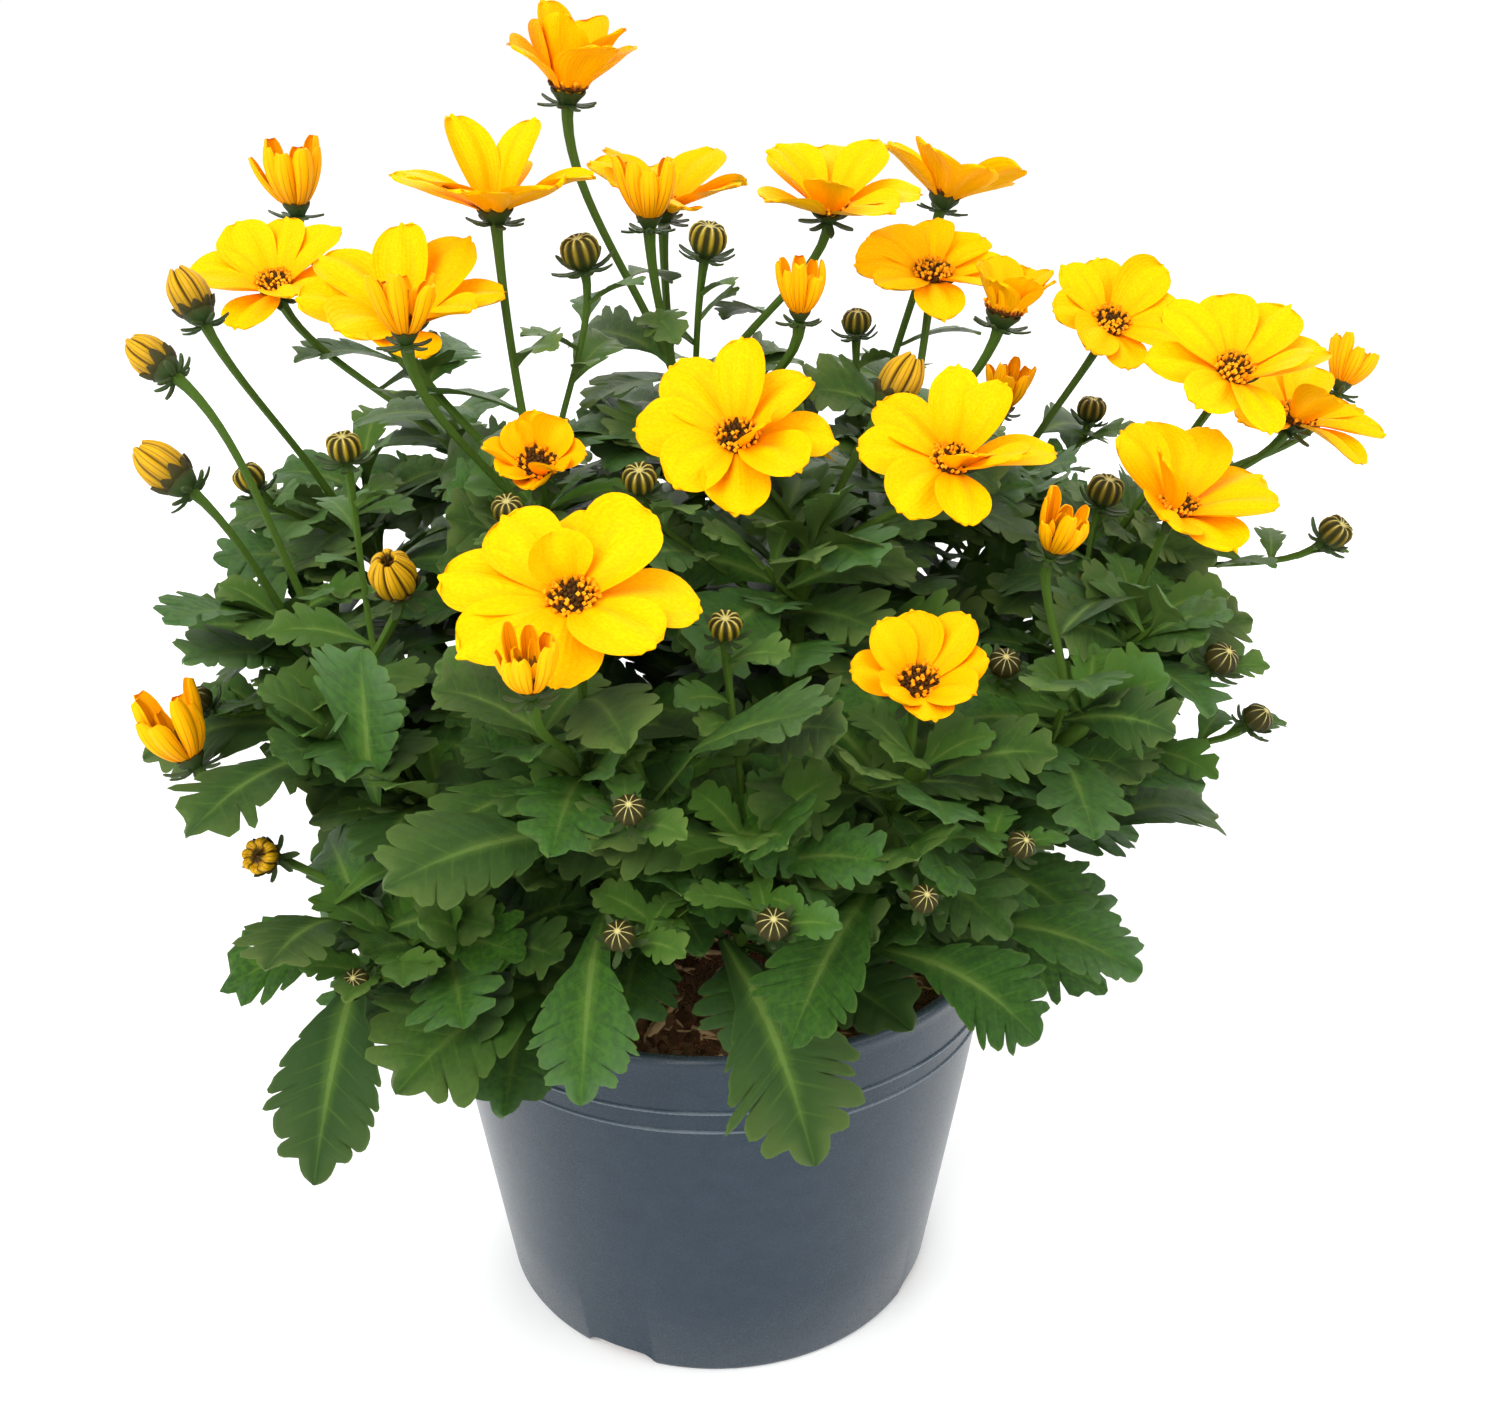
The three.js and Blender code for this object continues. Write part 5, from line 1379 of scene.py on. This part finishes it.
# Open flowers
# About eight broad petals in two layers stand round a disc of small florets. Each petal is creased
# twice along its length and toothed at its end; on the younger heads they still stand up.
DISC_RADIUS = 4.6
PETALS = 8
PETAL_THICKNESS = 0.3
PETAL_ROWS = (0, 0.09, 0.19, 0.3, 0.41, 0.52, 0.62, 0.71, 0.79, 0.86, 0.92, 0.965, 1)
PETAL_COLUMNS = np.array([-1, -0.8, -0.58, -0.36, -0.16, 0, 0.16, 0.36, 0.58, 0.8, 1])
PETAL_WIDEST, PETAL_END = 0.62, 0.42
# Heads with torn and curled petals, a head with shorter ones, and heads with young inner petals.
RAGGED = {17: 0.7, 18: 0.3}
PETAL_TRIM = {1: 0.88}
INNER_PETALS = {14: (4,), 15: (5,), 16: (1,), 3: (5,), 9: (0, 3)}
INNER_RISE, INNER_REACH, SLIM_PETAL = 64, 0.5, 0.26
PETAL_START, PETAL_LEVEL, LAYER_STEP = 2.4, 1.2, 0.35
STANDING_MORE, STANDING_MOST, STEEPEST = 34, 78, 86
FLORETS = 96
FLORETS_REACH, DISC_TOP = 4.2, 3.0
DISC_SIDES = 16
DISC_DOME = [(1.2, 0.6), (2.6, 1.2), (3.9, 1.9), (4.1, 2.3), (3.4, 2.7), (2.0, 3.0), (0.4, 3.1)]
FLORET_ROWS = (0, 0.45, 0.8, 1)
FLORET_MARKS = (0, 0.4, 0.75, 1)
OPEN_FLORET, CLOSED_FLORET = [0.28, 0.3, 0.34, 0.46], [0.38, 0.42, 0.4, 0.2]
GOLDEN_TURN = 2.39996
PETAL_YELLOW = (1.0, 0.47, 0.0)
PETAL_ORANGE = (0.98, 0.35, 0.0)
PETAL_PALE = (1.0, 0.55, 0.0)
FLORET_ORANGE = (0.95, 0.38, 0.005)
FLORET_RED = (0.3, 0.06, 0.005)
FLORET_BROWN = (0.075, 0.032, 0.006)

petal_cover = Finish("yellow_petal", PETAL_YELLOW, 0.6, 0.04)
across, along, _ = petal_cover.marks("where")
_, youth, _ = petal_cover.marks("tone")
crease_shade = abs(abs(across) - 0.42)
petal_cover.coat(petal_cover.noise(60.0, 3.0).fade(0.35, 0.7), PETAL_PALE)
# Deeper orange towards the base: partly the petal's own colour, partly painted shade where the petals cup
# round the disc.
petal_cover.coat(along.fade(0.04, 0.5, 0.65, 0.0), PETAL_ORANGE)
# Painted shade: orange along the two creases, fading towards the tip.
petal_cover.coat(crease_shade.fade(0.0, 0.2, 0.35, 0.0) * along.fade(0.3, 1.0, 1.0, 0.15), PETAL_ORANGE)
petal_cover.coat(youth * 0.48, PETAL_ORANGE)
petal_cover.bump((across * 44.0).calc("SINE"), 0.16, 0.2)
yellow_petal = petal_cover.close()

floret_cover = Finish("disc_floret", FLORET_ORANGE, 0.6, 0.1)
_, _, floret_along = floret_cover.marks("where")
closed_share, _, _ = floret_cover.marks("tone")
floret_cover.coat(floret_along.fade(0.1, 0.6, 1.0, 0.0), FLORET_RED)
floret_cover.coat(closed_share, FLORET_BROWN)
disc_floret = floret_cover.close()


def petal_skin(skins, head, at, turn, rise, length, broad, number, start=PETAL_START, layer=0.0):
    """One petal that leaves the disc at a turn, with its own rise, creases, curl and toothed end."""
    ragged = RAGGED.get(head["number"], 0)
    curl = max(0, draw(number, 131) - 0.35 + ragged) * 2.4
    curl_side = 1 if draw(number, 132) > 0 else -1
    twist = 0.10 + 0.16 * draw(number, 133)
    bend = 0.1 * draw(number, 134)
    pointed = max(0, draw(number, 135) - 0.2)
    hang = 15 + 9 * draw(number, 138)
    half_most = broad * head["reach"]
    radius, height = start, PETAL_LEVEL + layer
    v = PETAL_COLUMNS
    rings, marks = [], []
    before = 0
    for u in PETAL_ROWS:
        slope = min(rise + math.radians(hang * (1 - 2 * u)), math.radians(STEEPEST))
        radius += (u - before) * length * math.cos(slope)
        height += (u - before) * length * math.sin(slope)
        before = u
        if u < PETAL_WIDEST:
            share = 0.28 + 0.72 * math.sin(math.pi / 2 * u / PETAL_WIDEST) ** 1.15
        else:
            share = math.sqrt(1 - ((u - PETAL_WIDEST) / PETAL_END) ** 2 * (1 + 0.15 * pointed))
        half = half_most * share
        out = u ** 6 * length * (0.02 * np.cos(7.5 * v + draw(number, 136)) - 0.05 * v * v
                                 - 0.05 * pointed * np.abs(v))
        x = v * half
        lift = 0.10 * half * np.cos(6 * v) * math.sin(math.pi * min(1, u * 1.1))
        lift = lift + 0.10 * half * v * v * (1 - 0.6 * u) + x * twist
        lift = lift + 0.05 * half_most * u * np.sin(3 * v * (1 + u) + 3 * draw(number, 139))
        lift = lift + curl * half * 0.45 * np.clip(v * curl_side, 0, 1) ** 2 * u
        middle = turn + bend * u * u
        r = radius + out * math.cos(slope) - lift * math.sin(slope)
        h = height + out * math.sin(slope) + lift * math.cos(slope)
        top = at(np.hypot(r, x), middle + np.arctan2(x, np.maximum(r, 0.5)), h)
        r = r + PETAL_THICKNESS * math.sin(slope)
        h = h - PETAL_THICKNESS * math.cos(slope)
        under = at(np.hypot(r, x), middle + np.arctan2(x, np.maximum(r, 0.5)), h)
        rings.append(np.concatenate([top, under[1:-1][::-1]]))
        mark = np.column_stack([v, np.full(len(v), u), np.zeros(len(v))])
        marks.append(np.concatenate([mark, mark[1:-1][::-1]]))
    young = max(0, (head["cup"] - 30) / 30) + ragged
    skins.add(rings, marks, (0, min(1, young), 0), 0)


def floret_marks(shares, sides):
    """How far up its floret each point of a ring lies, for rings from foot to tip."""
    marks = np.zeros((len(shares), sides, 3))
    marks[:, :, 2] = np.array(shares)[:, None]
    return marks


def disc_skins(skins, at, number):
    """The domed disc: open yellow florets towards its edge and dark closed ones in its middle."""
    turn = ring_turns(DISC_SIDES)
    skins.add([at(radius, turn, height) for radius, height in DISC_DOME], tone=(1, 0, 0), finish=1)
    for k in range(FLORETS):
        piece = number * 100 + k
        share = (k + 0.5) / FLORETS
        radius = FLORETS_REACH * math.sqrt(share)
        outer = radius / DISC_RADIUS
        around = k * GOLDEN_TURN + 0.1 * draw(piece, 1)
        height = DISC_TOP - outer ** 2
        closed = draw(piece, 6) > lerp(-0.4, 0.9, share)
        tall = (0.8 if closed else 1.25) + 0.25 * draw(piece, 2) + 0.3 * outer
        lean, sway = 0.25 * draw(piece, 3) + 0.45 * radius / DISC_RADIUS, 0.3 * draw(piece, 4)
        tip_turn, tip_height = around + sway / max(radius, 1), height + tall * (0.9 + 0.1 * draw(piece, 5))
        guides = [at(radius, around, height), at(radius + lean * 0.3, around, height + tall * 0.7),
                  at(radius + lean * 1.6, tip_turn, tip_height)]
        points = [on_curve(guides, t) for t in FLORET_ROWS]
        rings = bar_rings(points, CLOSED_FLORET if closed else OPEN_FLORET, 4)
        skins.add(rings, floret_marks(FLORET_MARKS, 4), (1.0 if closed else 0.0, 0, 0), 1)


for head in blooms:
    at = head_frame(head)
    number = head["number"]
    skins = Skins()
    for i in range(PETALS):
        turn = 2 * math.pi / PETALS * (i + 0.06 * draw(i, number))
        rise = math.radians(head["cup"] + (4 if i % 2 else -4) + 8 * draw(i, number + 40))
        standing = draw(i, number + 200) > 0.8
        if standing:
            rise = min(rise + math.radians(STANDING_MORE), math.radians(STANDING_MOST))
        length = (head["reach"] - PETAL_START) * (1 + 0.07 * draw(i, number + 80)) * PETAL_TRIM.get(number, 1)
        length *= 1 + 0.16 * RAGGED.get(number, 0) * draw(i, number + 160)
        broad = SLIM_PETAL if standing else 0.315 + 0.035 * draw(i, number + 120)
        petal_skin(skins, head, at, turn, rise, length, broad, number * 10 + i, layer=LAYER_STEP * (i % 2))
    for i in INNER_PETALS.get(number, ()):
        turn = 2 * math.pi / PETALS * (i + 0.5)
        petal_skin(skins, head, at, turn, math.radians(INNER_RISE), head["reach"] * INNER_REACH, SLIM_PETAL,
                   number * 10 + 9 + i, 2.6, 0.4)
    disc_skins(skins, at, number)
    flower = skins.piece(f"open_flower_{number:02d}", [yellow_petal, disc_floret], 50)
    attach(flower, "root")
    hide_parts(f"bloom_{number:02d}")


# Half-open heads
# The petals still stand in a cup, each rolled lengthwise so that its back is round. Their backs are
# golden with brown stripes, and between them one looks into a dark hollow with the first florets.
ROLLED_PETALS = 8
ROLLED_ROWS = (0, 0.12, 0.25, 0.4, 0.55, 0.7, 0.82, 0.91, 0.97, 1)
ROLLED_COLUMNS = np.linspace(-1, 1, 9)
ROLLED_THICKNESS = 0.28
ROLLED_TAPERS = 0.76
ROLLED_HEIGHT, INNER_HEIGHT = 13.6, 10.5
INNER_ROLLED = 4
HOLLOW_SIDES = 16
HOLLOW = [(1.2, 0.6), (2.3, 1.6), (3.4, 3.6), (3.2, 5.4), (1.8, 6.0), (0.3, 6.2)]
HOLLOW_FLORETS, HOLLOW_REACH = 24, 3.0
FIRST_FLORET = [0.3, 0.3, 0.16]
ROLLED_GOLD = (1.0, 0.41, 0.0)
ROLLED_SHADE = (0.72, 0.24, 0.0)
STRIPE_BROWN = (0.2, 0.07, 0.004)

rolled_cover = Finish("rolled_petal", ROLLED_GOLD, 0.6, 0.06)
across, along, inner_side = rolled_cover.marks("where")
stripe = (across * 15.0).calc("COSINE")
stripe_share = stripe.fade(0.6, 1.0, 0.0, 0.55) * along.fade(0.35, 1.0, 1.0, 0.3)
rolled_cover.coat(rolled_cover.noise(350.0, 3.0) * 0.4, PETAL_YELLOW)
# Painted shade: deeper orange low in the cup.
rolled_cover.coat(along.fade(0.0, 0.6, 0.75, 0.0), ROLLED_SHADE)
rolled_cover.coat(stripe_share, STRIPE_BROWN)
# Painted shade on the inner side of each petal, inside the cup.
rolled_cover.coat(inner_side.fade(0.4, 0.6, 0.0, 0.3), ROLLED_SHADE)
striped_petal = rolled_cover.close()


def rolled_petal(skins, at, turn, scale, tall, number, inner=False):
    """One petal of a cup: a trough with its round back outwards, narrow below and flared above."""
    rings, marks = [], []
    spread = 0.5 + 0.5 * draw(number, 1)
    lean = 1.5 * draw(number, 4)
    cut = 0.55 * (1 + draw(number, 5)) / 2
    v = ROLLED_COLUMNS
    for u in ROLLED_ROWS:
        radius = scale * (2.1 + 5.4 * math.sin(math.pi / 2 * min(1, 1.15 * u)) ** 0.75 + lean * u ** 2.5)
        radius = radius * (0.55 if inner else 1 + 0.1 * draw(number, 6))
        height = scale * (0.9 + (tall - 0.9) * u)
        roll = scale * (0.8 + 1.4 * math.sin(math.pi * (0.04 + 0.58 * u))) * (0.75 if inner else 1)
        past = max(0, u - ROLLED_TAPERS) / (1 - ROLLED_TAPERS)
        taper = math.sqrt(1 - past ** 2 * (0.8 - 0.4 * cut))
        angle = v * (2.0 - 0.95 * spread * u)
        notch = -0.9 * cut * np.cos(np.pi * v) * u ** 8
        both = []
        for depth in (0, ROLLED_THICKNESS * scale):
            bow = roll - depth
            x = bow * np.sin(angle) * taper
            r = radius - depth - bow * (1 - np.cos(angle)) * taper
            both.append(at(np.hypot(r, x), turn + np.arctan2(x, r), height + notch))
        rings.append(np.concatenate([both[0], both[1][::-1]]))
        mark = np.column_stack([v, np.full(len(v), u), np.zeros(len(v))])
        inside = mark[::-1].copy()
        inside[:, 2] = 1
        marks.append(np.concatenate([mark, inside]))
    skins.add(rings, marks, (0, 0, 0), 0)


def hollow_skins(skins, head, at):
    """The dark heart of the cup, with the first florets standing on it."""
    scale, facing = head["scale"], head["facing"]
    turn = ring_turns(HOLLOW_SIDES)
    skins.add([at(scale * radius, turn, scale * height) for radius, height in HOLLOW], tone=(1, 0, 0),
              finish=1)
    for k in range(HOLLOW_FLORETS):
        radius = scale * HOLLOW_REACH * math.sqrt((k + 0.5) / HOLLOW_FLORETS)
        tall = scale * (2.2 + draw(head["number"] * 100 + k, 2))
        base = at(radius, k * GOLDEN_TURN, scale * (6.0 - 0.12 * radius ** 2))
        rings = bar_rings([base, base + facing * tall * 0.5, base + facing * tall], FIRST_FLORET, 5)
        skins.add(rings, floret_marks((0, 0.5, 1), 5), (0.8, 0, 0), 1)


for head in half_open:
    at = head_frame(head)
    number, scale = head["number"], head["scale"]
    skins = Skins()
    for i in range(ROLLED_PETALS):
        piece = number * 20 + i
        turn = 2 * math.pi * (i + 0.16 * draw(piece, 2)) / ROLLED_PETALS
        rolled_petal(skins, at, turn, scale, ROLLED_HEIGHT + 3.0 * draw(piece, 3), piece)
    for i in range(INNER_ROLLED):
        piece = number * 20 + 12 + i
        turn = 2 * math.pi * (i + 0.3) / INNER_ROLLED
        rolled_petal(skins, at, turn, scale, INNER_HEIGHT + 1.5 * draw(piece, 3), piece, True)
    hollow_skins(skins, head, at)
    label = f"{number - HALF_OPEN_AFTER:02d}"
    young = skins.piece(f"half_open_head_{label}", [striped_petal, disc_floret], 50)
    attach(young, "root")
    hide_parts(f"half_open_{label}")


# Large buds
# Closed heads, each an egg of furled petals whose round backs show as yellow ribs between brown
# grooves. Dark olive scales clasp the lower half, and the petals meet at the top round a small hole.
# One of them is short and has begun to open there.
BUD_SIDES = 64
OPENED_BUD = 54
FURLED_PETALS = 8
CLASPING_SCALES = 8
CLASP_ROWS = (0, 0.25, 0.5, 0.75, 0.92, 1)
CLASP_ACROSS = np.array([-1, -0.5, 0, 0.5, 1, 0.5, 0, -0.5])
CLASP_LIFT = np.array([0, 0.28, 0.38, 0.28, 0, -0.5, -0.5, -0.5])
CLASP_FOOT, CLASP_TOP, CLASP_HALF = 0.9, 4.2, 1.75
# The egg up to its shoulder is what the scales clasp; after that it turns in to the hole.
SHOULDER = 8
GROOVE_DEPTH, PETAL_TWIST = 0.26, 0.35
LARGE_BUD_PROFILE = [(1.2, 0.4), (3.1, 1.2), (4.15, 2.6), (4.6, 4.2), (4.75, 6.0), (4.6, 7.8), (4.05, 9.3),
                     (3.35, 10.4), (2.6, 11.3), (1.95, 11.8), (1.5, 11.4), (1.2, 10.2), (0.4, 9.6)]
OPENED_PROFILE = [(1.2, 0.4), (3.0, 1.0), (3.9, 2.2), (4.35, 3.6), (4.6, 4.8), (4.6, 5.6), (4.3, 6.2),
                  (3.7, 6.4), (3.1, 6.1), (2.8, 5.5), (2.3, 5.3), (1.2, 5.5), (0.3, 5.5)]
FURLED_YELLOW = (0.62, 0.33, 0.003)
FURLED_OLIVE = (0.2, 0.12, 0.006)
GROOVE_BROWN = (0.07, 0.036, 0.005)

furled_cover = Finish("furled_petals", FURLED_YELLOW, 0.55, 0.15)
on_back, around_bud, bud_height = furled_cover.marks("where")
fine_lines = (around_bud * 38.0).calc("SINE")
furled_cover.coat(bud_height.fade(0.05, 0.5, 0.9, 0.0), FURLED_OLIVE)
furled_cover.coat(fine_lines.fade(0.5, 1.0, 0.0, 0.5), GROOVE_BROWN)
furled_cover.coat(on_back.fade(0.2, 0.78, 0.95, 0.0), GROOVE_BROWN)
furled_cover.coat(bud_height.fade(0.8, 0.9), GROOVE_BROWN)
furled_petals = furled_cover.close()


def clasping_scale(skins, head, at, i):
    """One scale that lies on the bud's lower half: broad below, blunt above, thickest in its middle."""
    number, scale = head["number"], head["scale"]
    radii, heights = np.array(LARGE_BUD_PROFILE[:SHOULDER]).T
    top = CLASP_TOP + 1.4 * draw(number, 20 + i)
    turn = 2 * math.pi * (i + 0.2 * draw(number, 30 + i)) / CLASPING_SCALES
    rings, marks = [], []
    for u in CLASP_ROWS:
        height = lerp(CLASP_FOOT, top, u)
        radius = np.interp(height, heights, radii) + 0.05
        half = CLASP_HALF * math.cos(math.pi / 2 * u * 0.93) ** 0.8
        rings.append(at(scale * (radius + (CLASP_LIFT + 0.25 * u)), turn + CLASP_ACROSS * half / radius,
                        scale * height))
        marks.append(np.column_stack([np.full(8, 0.7 + 0.3 * u), CLASP_ACROSS, np.full(8, 0.1)]))
    skins.add(rings, marks, finish=1)


for head in buds:
    at = head_frame(head)
    number, scale = head["number"], head["scale"]
    turn = ring_turns(BUD_SIDES)
    around = FURLED_PETALS * turn / 2 + draw(number, 1)
    back = np.sqrt(np.abs(np.sin(around)))
    rings, marks = [], []
    for i, (radius, height) in enumerate(OPENED_PROFILE if number == OPENED_BUD else LARGE_BUD_PROFILE):
        share = i / (len(LARGE_BUD_PROFILE) - 1)
        deep = GROOVE_DEPTH * math.sin(math.pi * min(1, share * 1.1))
        uneven = (0.8 * np.sin(np.floor(around / np.pi) * 2.4) + 0.9 * back) * share ** 3
        rings.append(at(scale * radius * (1 - deep * (1 - back)), turn + PETAL_TWIST * share,
                        scale * (height + uneven)))
        marks.append(np.column_stack([back, around / (2 * np.pi), np.full(BUD_SIDES, share)]))
    skins = Skins()
    skins.add(rings, marks)
    for i in range(CLASPING_SCALES):
        clasping_scale(skins, head, at, i)
    label = f"{number - BUDS_AFTER:02d}"
    bud = skins.piece(f"large_bud_{label}", [furled_petals, bract], 60)
    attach(bud, "root")
    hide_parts(f"bud_{label}")
